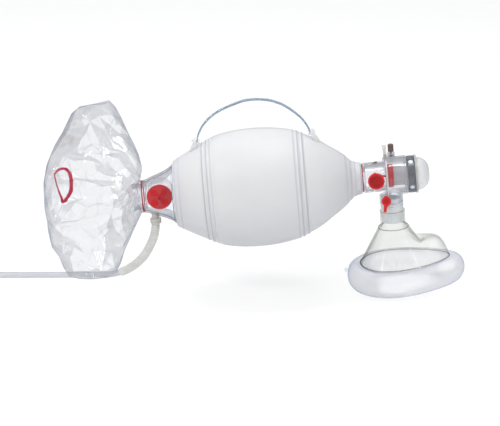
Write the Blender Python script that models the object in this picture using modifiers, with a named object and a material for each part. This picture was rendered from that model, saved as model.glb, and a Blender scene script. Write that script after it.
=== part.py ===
"""Bag valve mask: a self-inflating resuscitator with an oxygen reservoir and a face mask.

Every size below is in millimetres in the bag's own frame: X runs along the squeeze bag
from the air intake to the exhaust, Z is square to it and up, Y points to the back, and
the origin is where the bag's axis meets the axis of the mask connector. An empty holds
that frame, pitched up a few degrees because the assembly rests on the mask cushion and
on the oxygen tube. The world's origin is the middle of the whole object on the floor.

Every *_PROFILE is a table of (position along the axis, radius) rows for a turned part.
"""

import math

import bmesh
import bpy
import numpy as np
from mathutils import Vector

MM = 0.001

# Stance: angles in degrees
PITCH = 5.0              # the bag's axis rises toward the mask
MASK_YAW = 5.95          # the nose end of the mask is turned a little to the back
CENTRE_HEIGHT = 122.0    # bag axis above the floor, where the mask axis crosses it
CENTRE_X = 192.8         # the same point's distance from the middle of the object

# Where parts sit, shared by their frames, bodies and holes
HANDLE_X, HANDLE_PIN_Z = -138.0, 54.0
SIDE_VALVE_X, SIDE_VALVE_Z = -240.0, 1.5
AIR_DISC_Y, OVERFLOW_DISC_Y = -12.0, 15.4
INLET_DISC_X = -218.0
RESERVOIR_X = -260.0
OXYGEN_X = -247.2
RELIEF_X = 3.0
CLIP_X, CLIP_Z = -3.4, 22.9
MEDICATION_X, MEDICATION_Z = -14.9, 1.0
PRESSURE_X, PRESSURE_Z, PRESSURE_CAP_Z = -5.9, -23.6, -22.6
CONNECTOR_Z, MASK_Z = -28.0, -37.0

GAP = 0.3                # clearance of a part trimmed to a round body

for old in list(bpy.data.objects):
    bpy.data.objects.remove(old, do_unlink=True)

parts = bpy.data.collections.new("bag_valve_mask")
cutters = bpy.data.collections.new("cutters")
for collection in (parts, cutters):
    bpy.context.scene.collection.children.link(collection)

# Rotations that lay a part's own Z along the named direction
AXIS = {
    "X": (0, math.pi / 2, 0),
    "-X": (0, -math.pi / 2, 0),
    "Y": (-math.pi / 2, 0, 0),
    "-Y": (math.pi / 2, 0, 0),
    "Z": (0, 0, 0),
}


# ---------------------------------------------------------------- materials
def material(name, rgb, roughness):
    mat = bpy.data.materials.new(name)
    mat.use_nodes = True
    shader = mat.node_tree.nodes["Principled BSDF"]
    shader.inputs["Base Color"].default_value = (*rgb, 1)
    shader.inputs["Roughness"].default_value = roughness
    return mat


FROSTED = material("frosted_silicone", rgb=(0.83, 0.84, 0.86), roughness=0.5)
CLEAR = material("clear_plastic", rgb=(0.80, 0.86, 0.90), roughness=0.08)
CLEAR_PVC = material("clear_pvc", rgb=(0.82, 0.88, 0.95), roughness=0.1)
FILM = material("reservoir_film", rgb=(0.90, 0.91, 0.93), roughness=0.12)
RED = material("red_silicone", rgb=(0.60, 0.02, 0.02), roughness=0.45)
WHITE = material("white_plastic", rgb=(0.86, 0.86, 0.86), roughness=0.35)
GREY = material("grey_plastic", rgb=(0.30, 0.30, 0.31), roughness=0.4)
UMBER = material("umber_plastic", rgb=(0.20, 0.17, 0.15), roughness=0.5)
BLUE_GREY = material("blue_grey_plastic", rgb=(0.55, 0.62, 0.68), roughness=0.3)
TUBING = material("tubing", rgb=(0.75, 0.75, 0.73), roughness=0.3)
STEEL = material("spring_steel", rgb=(0.6, 0.6, 0.6), roughness=0.3)


# ---------------------------------------------------------------- placing and finishing
def frame(name, at, parent=None, rotation=(0, 0, 0)):
    """An empty at a point of the bag's frame; one without a parent is placed in the world
    and is the origin for its children."""
    empty = bpy.data.objects.new(name, None)
    empty.empty_display_size = 0.01
    parts.objects.link(empty)
    if parent:
        empty["at"] = at
        place(empty, parent, at, rotation)
    else:
        empty["at"] = (0.0, 0.0, 0.0)
        empty.location = Vector(at) * MM
        empty.rotation_euler = rotation
    return empty


def place(obj, parent, at=(0, 0, 0), rotation=(0, 0, 0)):
    obj.parent = parent
    obj.location = (Vector(at) - Vector(parent["at"])) * MM
    obj.rotation_euler = rotation


def finish(obj, mat):
    """Link a body with its material. A body without a material is a hidden cutter."""
    if mat is None:
        cutters.objects.link(obj)
        obj.hide_render = True
        obj.display_type = "WIRE"
        return obj
    parts.objects.link(obj)
    obj.data.materials.append(mat)
    if obj.type == "MESH":
        obj.data.shade_smooth()
        obj.data.set_sharp_from_angle(angle=math.radians(35))
    return obj


def mesh_object(name, bm):
    mesh = bpy.data.meshes.new(name)
    bm.to_mesh(mesh)
    bm.free()
    return bpy.data.objects.new(name, mesh)


# ---------------------------------------------------------------- kinds of body
def turned(name, profile, parent, mat=None, axis="X", at=(0, 0, 0), steps=20):
    """A turned solid. The profile is a closed loop for a ring, or has its ends on the
    axis for a solid one."""
    points = [(r, h) for h, r in profile]
    is_ring = min(r for r, _ in points) > 1e-6
    area = sum(
        a[0] * b[1] - b[0] * a[1] for a, b in zip(points, points[1:] + points[:1])
    )
    if area > 0:
        points.reverse()
    edges = [(i, i + 1) for i in range(len(points) - 1)]
    if is_ring:
        edges.append((len(points) - 1, 0))
    mesh = bpy.data.meshes.new(name)
    mesh.from_pydata([(r * MM, 0, h * MM) for r, h in points], edges, [])
    obj = bpy.data.objects.new(name, mesh)
    screw = obj.modifiers.new("turn", "SCREW")
    screw.axis = "Z"
    screw.angle = 2 * math.pi
    screw.steps = screw.render_steps = steps
    screw.use_merge_vertices = True
    screw.merge_threshold = 1e-5
    screw.use_smooth_shade = True
    place(obj, parent, at, AXIS[axis])
    return finish(obj, mat)


def rod(name, radius, start, end, parent, mat=None, axis="Z", at=(0, 0, 0), steps=24):
    """A plain round rod from start to end along the axis."""
    bm = bmesh.new()
    bmesh.ops.create_cone(
        bm, cap_ends=True, segments=steps, radius1=radius * MM, radius2=radius * MM,
        depth=(end - start) * MM,
    )
    bmesh.ops.translate(bm, verts=bm.verts, vec=(0, 0, (start + end) / 2 * MM))
    obj = mesh_object(name, bm)
    place(obj, parent, at, AXIS[axis])
    return finish(obj, mat)


def block(name, low, high, parent, mat=None):
    """A box between two corners, with its origin in its middle."""
    bm = bmesh.new()
    bmesh.ops.create_cube(bm, size=1)
    bmesh.ops.scale(bm, verts=bm.verts, vec=[(b - a) * MM for a, b in zip(low, high)])
    obj = mesh_object(name, bm)
    place(obj, parent, [(a + b) / 2 for a, b in zip(low, high)])
    return finish(obj, mat)


def outline_solid(name, outline, half, parent, mat, at=(0, 0, 0)):
    """A flat outline of (x, z) points, as thick as 2 * half along Y."""
    curve = bpy.data.curves.new(name, "CURVE")
    curve.dimensions = "2D"
    curve.fill_mode = "BOTH"
    curve.extrude = half * MM
    spline = curve.splines.new("POLY")
    spline.points.add(len(outline) - 1)
    for point, (x, z) in zip(spline.points, outline):
        point.co = (x * MM, z * MM, 0, 1)
    spline.use_cyclic_u = True
    scratch = bpy.data.objects.new(name + "_curve", curve)
    bpy.context.scene.collection.objects.link(scratch)
    bpy.context.view_layer.update()
    graph = bpy.context.evaluated_depsgraph_get()
    mesh = bpy.data.meshes.new_from_object(scratch.evaluated_get(graph))
    # The caps and sides of a filled curve come apart, so they are welded into one solid.
    bm = bmesh.new()
    bm.from_mesh(mesh)
    bmesh.ops.remove_doubles(bm, verts=bm.verts, dist=1e-6)
    bmesh.ops.recalc_face_normals(bm, faces=bm.faces)
    bm.to_mesh(mesh)
    bm.free()
    bpy.data.objects.remove(scratch, do_unlink=True)
    obj = bpy.data.objects.new(name, mesh)
    place(obj, parent, at, AXIS["-Y"])
    return finish(obj, mat)


def round_wire(name, points, radius, resolution):
    """A curve object with a round section along a path."""
    curve = bpy.data.curves.new(name, "CURVE")
    curve.dimensions = "3D"
    curve.bevel_depth = radius * MM
    curve.bevel_resolution = resolution
    spline = curve.splines.new("POLY")
    spline.points.add(len(points) - 1)
    for point, co in zip(spline.points, points):
        point.co = (*[c * MM for c in co], 1)
    return bpy.data.objects.new(name, curve)


def add_wall(obj, thickness):
    """Thicken a skin inward."""
    solid = obj.modifiers.new("wall", "SOLIDIFY")
    solid.thickness = thickness * MM
    solid.offset = -1
    return solid


def hose(name, points, radius, wall, parent, mat):
    """A hollow hose along a path, open at both ends."""
    obj = round_wire(name, points, radius, resolution=2)
    obj.data.use_fill_caps = False
    place(obj, parent)
    weld = obj.modifiers.new("weld", "WELD")
    weld.merge_threshold = 1e-6
    add_wall(obj, wall)
    return finish(obj, mat)


def loft(name, rings, parent, mat, at, closed_tube=False, tip=None, wall=0.0):
    """A skin through rings of points that all have the same count. It is joined end to
    end when closed_tube is set, closed on a tip point when tip is given, and given a
    wall by Solidify when wall is set."""
    bm = bmesh.new()
    rows = [[bm.verts.new([c * MM for c in p]) for p in ring] for ring in rings]
    count = len(rows[0])
    pairs = list(zip(rows, rows[1:]))
    if closed_tube:
        pairs.append((rows[-1], rows[0]))
    for a, b in pairs:
        for j in range(count):
            k = (j + 1) % count
            bm.faces.new((a[j], a[k], b[k], b[j]))
    if tip:
        end = bm.verts.new([c * MM for c in tip])
        for j in range(count):
            bm.faces.new((rows[-1][j], rows[-1][(j + 1) % count], end))
    bmesh.ops.recalc_face_normals(bm, faces=bm.faces)
    obj = mesh_object(name, bm)
    place(obj, parent, at)
    if wall:
        add_wall(obj, wall).use_even_offset = False
    return finish(obj, mat)


# ---------------------------------------------------------------- cutting and joining
def boolean(obj, other, operation):
    modifier = obj.modifiers.new(operation.lower() + "_" + other.name, "BOOLEAN")
    modifier.operation = operation
    modifier.solver = "EXACT"
    modifier.object = other


def cut(obj, *tools):
    for tool in tools:
        boolean(obj, tool, "DIFFERENCE")


def unite(obj, other):
    boolean(obj, other, "UNION")


def cut_port_ring(obj, name, count, circle, radius, start, end, parent, axis, steps,
                  first=0, middle=(0, 0, 0)):
    """Cut evenly spaced round ports along X or Y, on a circle around the middle. The
    first port is at the given angle in degrees, measured toward Z."""
    for i in range(count):
        turn = math.radians(first + 360 / count * i)
        side = circle * math.cos(turn)
        up = circle * math.sin(turn)
        offset = (0, side, up) if axis == "X" else (side, 0, up)
        at = [m + o for m, o in zip(middle, offset)]
        cut(obj, rod("%s_%d" % (name, i), radius, start, end, parent, axis=axis, at=at,
                     steps=steps))


# ---------------------------------------------------------------- shared arithmetic
def mix(a, b, t):
    return a + (b - a) * t


def smoothstep(t):
    t = min(max(t, 0.0), 1.0)
    return t * t * (3 - 2 * t)


def full_turn(count):
    """Evenly spaced angles around a full turn."""
    return [2 * math.pi * j / count for j in range(count)]


# ---------------------------------------------------------------- frames of the bodies
centre = (CENTRE_X, 0.0, CENTRE_HEIGHT)
bag_frame = frame("bag_frame", centre, rotation=(0, -math.radians(PITCH), 0))
floor_frame = frame("floor_frame", centre)
handle_frame = frame("handle_frame", (HANDLE_X, 0, HANDLE_PIN_Z), bag_frame)
inlet_frame = frame("inlet_disc_frame", (INLET_DISC_X, 0, 0), bag_frame)
air_frame = frame("air_disc_frame", (SIDE_VALVE_X, AIR_DISC_Y, SIDE_VALVE_Z), bag_frame)
overflow_frame = frame(
    "overflow_disc_frame", (SIDE_VALVE_X, OVERFLOW_DISC_Y, SIDE_VALVE_Z), bag_frame)
reservoir_frame = frame("reservoir_frame", (RESERVOIR_X, 0, 0), bag_frame)
valve_frame = frame("valve_frame", (0, 0, 0), bag_frame)
shutter_frame = frame("shutter_frame", (-1.2, 0, 0), valve_frame)
relief_frame = frame("relief_frame", (RELIEF_X, 0, 25.0), valve_frame)
clip_frame = frame("override_clip_frame", (CLIP_X, 0, CLIP_Z), valve_frame)
medication_frame = frame(
    "medication_cap_frame", (MEDICATION_X, -18.0, MEDICATION_Z), valve_frame)
pressure_frame = frame(
    "pressure_cap_frame", (PRESSURE_X, -15.0, PRESSURE_CAP_Z), valve_frame)
guard_frame = frame("splash_guard_frame", (30.0, 0, 0), valve_frame)
connector_frame = frame("connector_frame", (0, 0, CONNECTOR_Z), valve_frame)
mask_frame = frame(
    "mask_frame", (0, 0, MASK_Z), connector_frame, (0, 0, math.radians(MASK_YAW)))

# ---------------------------------------------------------------- squeeze bag
BAG_LEFT, BAG_RIGHT = -224.0, -30.3
BAG_WALL = 1.6
BAG_PROFILE = [
    (BAG_LEFT, 34.0), (-221.5, 35.5), (-213.0, 40.2), (-205.0, 44.4), (-196.5, 48.6),
    (-188.0, 52.8), (-177.7, 57.1), (-167.0, 59.6), (-157.0, 60.9), (-146.0, 61.6),
    (-136.0, 61.7), (-125.0, 61.2), (-115.0, 60.1), (-104.5, 58.3), (-94.0, 55.3),
    (-83.6, 50.5), (-73.0, 45.1), (-62.7, 38.1), (-52.3, 31.0), (-47.0, 27.0),
    (-41.8, 21.9), (-37.0, 18.2), (BAG_RIGHT, 16.6),
]
# The inside follows the outside between the bores of the two necks.
INSIDE_STATIONS = [-47.5, -52.3, -62.7, -73, -88, -104.5, -120, -136, -152, -167, -182,
                   -196.5, -207]
VALVE_END_BORE = [(BAG_RIGHT, 14.5), (-43.0, 14.5)]
INTAKE_END_BORE = [(-216.2, 36.6), (-216.9, 31.3), (BAG_LEFT, 31.3)]

bag_inside = [(x, float(np.interp(x, *zip(*BAG_PROFILE))) - BAG_WALL) for x in INSIDE_STATIONS]
turned("squeeze_bag", BAG_PROFILE + VALVE_END_BORE + bag_inside + INTAKE_END_BORE,
       bag_frame, FROSTED, steps=28)

# ---------------------------------------------------------------- handle
# The handle's two lugs stand on the bag; each is trimmed to the bag's curve.
LUG_TOP = 56.9
LUGS = {  # outlines of (x, z) points
    "rear_handle_lug": [(-207, 40), (-204.5, 45.5), (-202.3, 49.8), (-200.2, 50.9),
                        (-200.2, LUG_TOP), (-196.9, LUG_TOP), (-196.9, 40)],
    "front_handle_lug": [(-77.9, 40), (-77.9, LUG_TOP), (-74.6, LUG_TOP), (-74.6, 50.6),
                         (-72.5, 49.2), (-70.0, 45.6), (-67.5, 36)],
}
bag_clear = turned(
    "bag_clearance",
    [(BAG_LEFT, 0)] + [(x, r + GAP) for x, r in BAG_PROFILE] + [(BAG_RIGHT, 0)],
    bag_frame, steps=64,
)
for lug_name, lug_outline in LUGS.items():
    lug = outline_solid(lug_name, lug_outline, 4.0, bag_frame, FROSTED)
    lug_middle = sum(x for x, z in lug_outline if z == LUG_TOP) / 2
    lug_hole = rod(lug_name + "_hole", 1.9, -8, 8, bag_frame, axis="X",
                   at=(lug_middle, 0, HANDLE_PIN_Z), steps=16)
    cut(lug, bag_clear, lug_hole)

STRAP_HALF_WIDTH, STRAP_THICK = 3.5, 1.5
STRAP_REAR_X, STRAP_FRONT_X = -195.8, -79.0
# Middle line of the strap as (x, z) points, from the intake end to the valve end
STRAP_LINE = [
    (STRAP_REAR_X, 51.6), (STRAP_REAR_X, 56.0), (-194.6, 60.5), (-192.4, 65.2), (-188.6, 70.9),
    (-182.5, 77.2), (-175.1, 82.5), (-167.0, 86.4), (-157.1, 90.0), (-144.7, 93.4),
    (-132.5, 94.0), (-118.7, 91.9), (-107.7, 87.6), (-99.5, 82.2), (-91.4, 75.1),
    (-85.8, 68.9), (-81.6, 62.0), (-79.2, 56.0), (STRAP_FRONT_X, 51.6),
]
PIN_INSET = 2.3          # a pin's inner end from the strap line, toward the handle's middle
PIN_PROFILE = [(0, 0), (0, 2.4), (1.2, 2.4), (1.2, 1.5), (7.0, 1.5), (7.0, 2.4), (8.2, 2.4),
               (8.2, 0)]


def offset_line(line, distance):
    """The line moved sideways; a positive distance is to the left of its direction."""
    moved = []
    for i, (x, z) in enumerate(line):
        x0, z0 = line[max(i - 1, 0)]
        x1, z1 = line[min(i + 1, len(line) - 1)]
        length = math.hypot(x1 - x0, z1 - z0)
        moved.append((x - (z1 - z0) / length * distance, z + (x1 - x0) / length * distance))
    return moved


strap_outline = (offset_line(STRAP_LINE, STRAP_THICK / 2)
                 + offset_line(STRAP_LINE, -STRAP_THICK / 2)[::-1])
strap = outline_solid(
    "handle_strap", [(x - HANDLE_X, z - HANDLE_PIN_Z) for x, z in strap_outline],
    STRAP_HALF_WIDTH, handle_frame, CLEAR_PVC, at=(HANDLE_X, 0, HANDLE_PIN_Z))
for end_name, x, outward in (("rear", STRAP_REAR_X, -1), ("front", STRAP_FRONT_X, 1)):
    cut(strap, rod(end_name + "_strap_hole", 1.85, -2, 2, handle_frame, axis="X",
                   at=(x, 0, HANDLE_PIN_Z), steps=16))
    turned(end_name + "_handle_pin", [(outward * h, r) for h, r in PIN_PROFILE],
           handle_frame, CLEAR, at=(x - outward * PIN_INSET, 0, HANDLE_PIN_Z), steps=16)

# ---------------------------------------------------------------- air intake housing
INTAKE_LEFT, INTAKE_STEP, INTAKE_RIGHT = -257.0, -224.4, -217.4
CAVITY_LEFT, CAVITY_RIGHT = -262.0, -212.0
FLAT_OUT, FLAT_IN = 14.5, 13.0       # the two flat side walls, outside and inside
HOUSING_PROFILE = [
    (INTAKE_LEFT, 0), (INTAKE_LEFT, 17.0), (-254.5, 17.4), (-247.5, 20.0), (-240.5, 22.4),
    (-232.0, 26.0), (-226.0, 29.9), (INTAKE_STEP, 31.8), (INTAKE_STEP, 30.9),
    (INTAKE_RIGHT, 30.9), (INTAKE_RIGHT, 0),
]
CAVITY_PROFILE = [
    (CAVITY_LEFT, 0), (CAVITY_LEFT, 15.2), (-254.5, 15.6), (-247.5, 18.2), (-240.5, 20.5),
    (-232.0, 24.0), (-225.5, 28.4), (-222.5, 29.3), (CAVITY_RIGHT, 29.3), (CAVITY_RIGHT, 0),
]


def side_slab(name, sign, inner, left, right):
    """A cutter for everything beyond a flat, on the back for +1 and the front for -1."""
    near, far = sorted((sign * inner, sign * 45.0))
    return block(name, (left, near, -40), (right, far, 40), bag_frame)


housing = turned("intake_housing", HOUSING_PROFILE, bag_frame, CLEAR, steps=24)
cavity = turned("housing_cavity", CAVITY_PROFILE, bag_frame, steps=24)
for side_name, sign in (("front", -1), ("back", 1)):
    cut(housing, side_slab(side_name + "_flat", sign, FLAT_OUT, -254.4, -226.1))
    cut(cavity, side_slab(side_name + "_wall", sign, FLAT_IN, -255.7, -224.7))
cut(housing, cavity)
side_valve = (SIDE_VALVE_X, 0, SIDE_VALVE_Z)
cut_port_ring(housing, "side_port", count=4, circle=7.2, radius=3.6, start=-17, end=17,
              parent=bag_frame, axis="Y", steps=10, first=45, middle=side_valve)
cut(housing,
    rod("side_stem_hole", 1.5, -17, 17, bag_frame, axis="Y", at=side_valve, steps=10),
    rod("oxygen_port", 4.2, -30, -10, bag_frame, at=(OXYGEN_X, 0, 0), steps=16))

# Each flap has a stem through its wall and a knob that stops it after a short lift.
FLAP_R = 13.4
FLAP_PROFILE = [(-0.5, 0), (-0.5, FLAP_R), (0.5, FLAP_R), (0.5, 1.0), (3.9, 1.0), (3.9, 2.2),
                (4.8, 2.2), (4.8, 0)]
turned("air_inlet_disc", FLAP_PROFILE, air_frame, RED, axis="-Y",
       at=(SIDE_VALVE_X, AIR_DISC_Y, SIDE_VALVE_Z))
turned("overflow_disc", [(-h, r) for h, r in FLAP_PROFILE], overflow_frame, FROSTED, axis="Y",
       at=(SIDE_VALVE_X, OVERFLOW_DISC_Y, SIDE_VALVE_Z))

# Inlet valve between the housing and the bag: seat, disc and the pin that holds them
INLET_SEAT_PROFILE = [(-221.0, 0), (-221.0, 28.9), (-219.2, 28.9), (-219.2, 0)]
INLET_DISC_PROFILE = [(-218.8, 1.6), (-218.8, 17.8), (-217.8, 17.8), (-217.8, 1.6)]
INLET_PIN_PROFILE = [(-222.6, 0), (-222.6, 2.6), (-221.4, 2.6), (-221.4, 1.1), (-215.2, 1.1),
                     (-215.2, 3.0), (-214.2, 3.0), (-214.2, 0)]
inlet_seat = turned("inlet_valve_seat", INLET_SEAT_PROFILE, bag_frame, CLEAR, steps=24)
cut_port_ring(inlet_seat, "inlet_port", count=6, circle=10.5, radius=4.0, start=-224,
              end=-216, parent=bag_frame, axis="X", steps=14)
cut(inlet_seat, rod("inlet_stem_hole", 1.5, -224, -216, bag_frame, axis="X", steps=10))
turned("inlet_valve_disc", INLET_DISC_PROFILE, inlet_frame, RED, steps=24)
turned("inlet_valve_pin", INLET_PIN_PROFILE, bag_frame, WHITE, steps=12)

# ---------------------------------------------------------------- reservoir
GASKET_PROFILE = [(-258.5, 15.2), (-258.5, 16.9), (-257.3, 16.9), (-257.3, 15.2)]
NECK_RING_PROFILE = [(-268.0, 14.2), (-260.6, 14.2), (-260.6, 17.0), (-258.8, 17.0),
                     (-258.8, 14.8), (-255.9, 14.8), (-255.9, 13.3), (-268.0, 13.0)]
# Sections from the neck to the far seam: X, top, bottom, half thickness, and how lens-like.
RESERVOIR_SECTIONS = [
    (-260.95, 15.3, -15.3, 15.3, 0.0), (-261.6, 38.0, -19.5, 18.5, 0.05),
    (-263.5, 55.0, -23.0, 21.5, 0.12), (-268.0, 74.0, -31.0, 25.0, 0.2),
    (-273.0, 90.0, -39.5, 28.5, 0.28), (-279.0, 102.5, -51.0, 31.5, 0.34),
    (-286.0, 105.5, -66.5, 34.0, 0.38), (-294.0, 103.8, -81.0, 36.0, 0.40),
    (-304.0, 103.2, -85.0, 37.5, 0.40), (-316.0, 100.0, -85.4, 37.0, 0.40),
    (-328.0, 86.5, -84.4, 34.0, 0.38), (-338.5, 69.5, -82.4, 29.5, 0.34),
    (-347.5, 56.0, -76.5, 24.0, 0.28), (-355.2, 40.0, -54.5, 17.0, 0.2),
    (-360.0, 21.0, -38.0, 9.0, 0.1),
]
RESERVOIR_TIP = (-361.6, 1.0)        # X and Z of the far end
RESERVOIR_SIDES = 18


def reservoir_ring(x, top, bottom, half, lens):
    ring = []
    for turn in full_turn(RESERVOIR_SIDES):
        across = math.sin(turn)
        ring.append((x - RESERVOIR_X, half * across * abs(across) ** lens,
                     (top + bottom) / 2 + (top - bottom) / 2 * math.cos(turn)))
    return ring


turned("reservoir_gasket", GASKET_PROFILE, reservoir_frame, RED)
turned("reservoir_neck_ring", NECK_RING_PROFILE, reservoir_frame, CLEAR)
loft("reservoir_bag", [reservoir_ring(*section) for section in RESERVOIR_SECTIONS],
     reservoir_frame, FILM, at=(RESERVOIR_X, 0, 0),
     tip=(RESERVOIR_TIP[0] - RESERVOIR_X, 0, RESERVOIR_TIP[1]), wall=0.7)

# ---------------------------------------------------------------- oxygen line
OXYGEN_CONNECTOR_PROFILE = [(-18.2, 3.8), (-24.6, 3.8), (-24.6, 5.85), (-29.7, 5.85),
                            (-29.7, 1.9), (-18.2, 1.9)]
turned("oxygen_connector", OXYGEN_CONNECTOR_PROFILE, bag_frame, TUBING, axis="Z",
       at=(OXYGEN_X, 0, 0))

# The sleeve, the plain tube and the supply connector lie square to the floor, so they
# use the floor frame. The lines are (x, y, z) points from the centre point.
TUBE_Y, TUBE_Z = 29.0, -118.75
TUBE_END_Y = TUBE_Y - 1.5
SLEEVE_LINE = [
    (-243.9, 0.1, -52.0), (-245.0, 1.0, -62.0), (-248.4, 3.4, -73.5), (-256.2, 9.0, -89.5),
    (-265.4, 16.5, -101.7), (-274.5, 23.0, -110.0), (-282.5, 26.8, -114.9),
]
TUBE_LINE = [
    (-283.1, 27.0, -115.2), (-293.5, TUBE_Y, -118.2), (-305.0, TUBE_Y + 0.5, TUBE_Z),
    (-330.0, TUBE_Y, TUBE_Z), (-370.0, TUBE_Y - 0.6, TUBE_Z), (-410.0, TUBE_Y - 1.2, TUBE_Z),
    (-436.0, TUBE_END_Y, TUBE_Z),
]
SUPPLY_PROFILE = [(-466.0, 3.0), (-466.0, 5.6), (-452.0, 5.6), (-449.0, 4.6), (-436.4, 4.6),
                  (-436.4, 2.4), (-450.0, 2.4), (-453.0, 3.0)]


def smooth_path(points, count):
    """Points on a Catmull-Rom curve through the given ones."""
    padded = [points[0]] + points + [points[-1]]
    path = []
    spans = len(points) - 1
    for n in range(count):
        t = n / (count - 1) * spans
        i = min(int(t), spans - 1)
        t -= i
        p0, p1, p2, p3 = (Vector(p) for p in padded[i:i + 4])
        path.append(0.5 * (2 * p1 + (p2 - p0) * t + (2 * p0 - 5 * p1 + 4 * p2 - p3) * t ** 2
                           + (3 * p1 - p0 - 3 * p2 + p3) * t ** 3))
    return path


hose("tube_sleeve", smooth_path(SLEEVE_LINE, 13), 4.3, 1.1, floor_frame, TUBING)
hose("oxygen_tube", smooth_path(TUBE_LINE, 14), 3.15, 0.9, floor_frame, CLEAR_PVC)
turned("supply_connector", SUPPLY_PROFILE, floor_frame, CLEAR, at=(0, TUBE_END_Y, -116.25),
       steps=16)

# ---------------------------------------------------------------- valve neck
CHAMBER_R, CHAMBER_BORE = 19.9, 18.3
CHAMBER_LEFT, CHAMBER_RIGHT = -2.0, 18.0
SWIVEL_RING_PROFILE = [(-44.0, 12.6), (-44.0, 14.1), (-29.9, 14.1), (-29.9, 16.5),
                       (-27.8, 16.5), (-27.8, 12.6)]
VALVE_NECK_PROFILE = [
    (-41.0, 10.7), (-41.0, 12.1), (-27.4, 12.1), (-27.4, 15.7), (-6.0, 15.7),
    (-6.0, CHAMBER_R), (-4.3, CHAMBER_R), (-4.3, 14.2), (-25.8, 14.2), (-25.8, 10.7),
]
MEDICATION_CAP_PROFILE = [(15.4, 0), (15.4, 4.0), (18.2, 4.0), (18.2, 8.6), (20.4, 8.6),
                          (21.2, 7.6), (21.2, 0)]
turned("neck_swivel_ring", SWIVEL_RING_PROFILE, bag_frame, FROSTED)
valve_neck = turned("valve_neck", VALVE_NECK_PROFILE, valve_frame, CLEAR, steps=24)
medication_port = (MEDICATION_X, 0, MEDICATION_Z)
unite(valve_neck, rod("medication_boss", 6.2, 14.9, 17.8, valve_frame, axis="-Y",
                      at=medication_port))
cut(valve_neck, rod("medication_bore", 4.4, 9.0, 20.0, valve_frame, axis="-Y",
                    at=medication_port))
turned("medication_port_cap", MEDICATION_CAP_PROFILE, medication_frame, RED, axis="-Y",
       at=medication_port)

# ---------------------------------------------------------------- valve seat and shutter
VALVE_SEAT_PROFILE = [(-3.9, 0), (-3.9, CHAMBER_R), (-2.3, CHAMBER_R), (-2.3, 0)]
SHUTTER_PROFILE = [(-8.6, 0), (-8.6, 2.0), (-7.6, 2.0), (-7.6, 1.0), (-1.9, 1.0), (-1.9, 12.0),
                   (-0.7, 12.0), (-0.7, 0)]
valve_seat = turned("valve_seat", VALVE_SEAT_PROFILE, valve_frame, WHITE, steps=24)
cut_port_ring(valve_seat, "seat_port", count=5, circle=7.0, radius=3.2, start=-6, end=0,
              parent=valve_frame, axis="X", steps=12, first=90)
cut(valve_seat, rod("seat_stem_hole", 1.4, -6, 0, valve_frame, axis="X", steps=10))
turned("shutter_valve", SHUTTER_PROFILE, shutter_frame, RED)

# ---------------------------------------------------------------- valve chamber
NECK_R, NECK_BORE, THROAT_R = 12.2, 10.7, 10.2
CHAMBER_PROFILE = [(CHAMBER_LEFT, 0), (CHAMBER_LEFT, CHAMBER_R), (CHAMBER_RIGHT, CHAMBER_R),
                   (CHAMBER_RIGHT, 0)]
chamber = turned("valve_chamber", CHAMBER_PROFILE, valve_frame, CLEAR, steps=24)
# The neck stands partly under the valve seat, so its left part stops short of the seat's edge.
patient_neck = rod("patient_neck", NECK_R, CONNECTOR_Z, -16.0, valve_frame)
cut(patient_neck, block("neck_step", (-14, -14, -20.3), (CHAMBER_LEFT, 14, -10), valve_frame))
unite(chamber, patient_neck)
pressure_port = (PRESSURE_X, 0, PRESSURE_Z)
unite(chamber, rod("pressure_boss", 3.4, 9.0, 14.5, valve_frame, axis="-Y", at=pressure_port,
                   steps=16))
# The throat opens the neck into the chamber, to the right of the valve seat only.
throat = rod("throat", THROAT_R, -22.5, -14.0, valve_frame)
cut(throat, block("throat_limit", (-14, -14, -25), (-0.2, 14, -10), valve_frame))
cut(chamber,
    rod("chamber_bore", CHAMBER_BORE, -5, 25, valve_frame, axis="X"),
    rod("neck_bore", NECK_BORE, -30.0, -21.9, valve_frame),
    throat,
    rod("pressure_bore", 1.9, 9.0, 16.0, valve_frame, axis="-Y", at=pressure_port, steps=10))

# Cap of the pressure port: a round head with a raised top, and a tail hanging from it
CAP_HEAD_R, CAP_HEAD_RISE, CAP_HEAD_STEPS = 5.0, 1.2, 12
CAP_TAIL = [(-3.2, -5.6), (-3.7, -11.6), (-0.8, -11.8), (0.3, -6.2)]     # (x, z) points
cap_outline = []
for i in range(CAP_HEAD_STEPS + 1):
    degrees = -55 + 290 * i / CAP_HEAD_STEPS
    turn = math.radians(degrees)
    rise = CAP_HEAD_RISE if 60 < degrees < 120 else 0
    cap_outline.append((CAP_HEAD_R * math.cos(turn), CAP_HEAD_R * math.sin(turn) + rise))
pressure_cap = outline_solid("pressure_port_cap", cap_outline + CAP_TAIL, 1.1, pressure_frame,
                             RED, at=(PRESSURE_X, -16.0, PRESSURE_CAP_Z))
unite(pressure_cap, rod("pressure_plug", 1.5, 12.0, 15.6, pressure_frame, axis="-Y",
                        at=pressure_port, steps=12))

# ---------------------------------------------------------------- exhaust
EXHAUST_DUCT_PROFILE = [(2.9, 9.0), (2.9, 10.5), (15.8, 10.5), (15.8, 18.0), (17.2, 18.0),
                        (17.2, 9.0)]
EXHAUST_RING_PROFILE = [(18.3, 16.4), (18.3, 19.3), (26.0, 19.3), (26.0, 16.4)]
FLANGE_PROFILE = [(26.3, 12.6), (26.3, 19.9), (28.4, 19.9), (28.4, 12.6)]
GUARD_PROFILE = [(41.3, 0), (41.2, 4.0), (40.6, 8.0), (38.6, 12.0), (35.5, 14.9), (32.0, 16.6),
                 (28.7, 17.0), (28.7, 15.3), (31.6, 14.9), (34.8, 13.3), (37.3, 10.8),
                 (39.1, 7.2), (39.7, 0)]
turned("exhaust_duct", EXHAUST_DUCT_PROFILE, valve_frame, WHITE)
exhaust = turned("exhaust_ring", EXHAUST_RING_PROFILE, valve_frame, GREY, steps=24)
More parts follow.
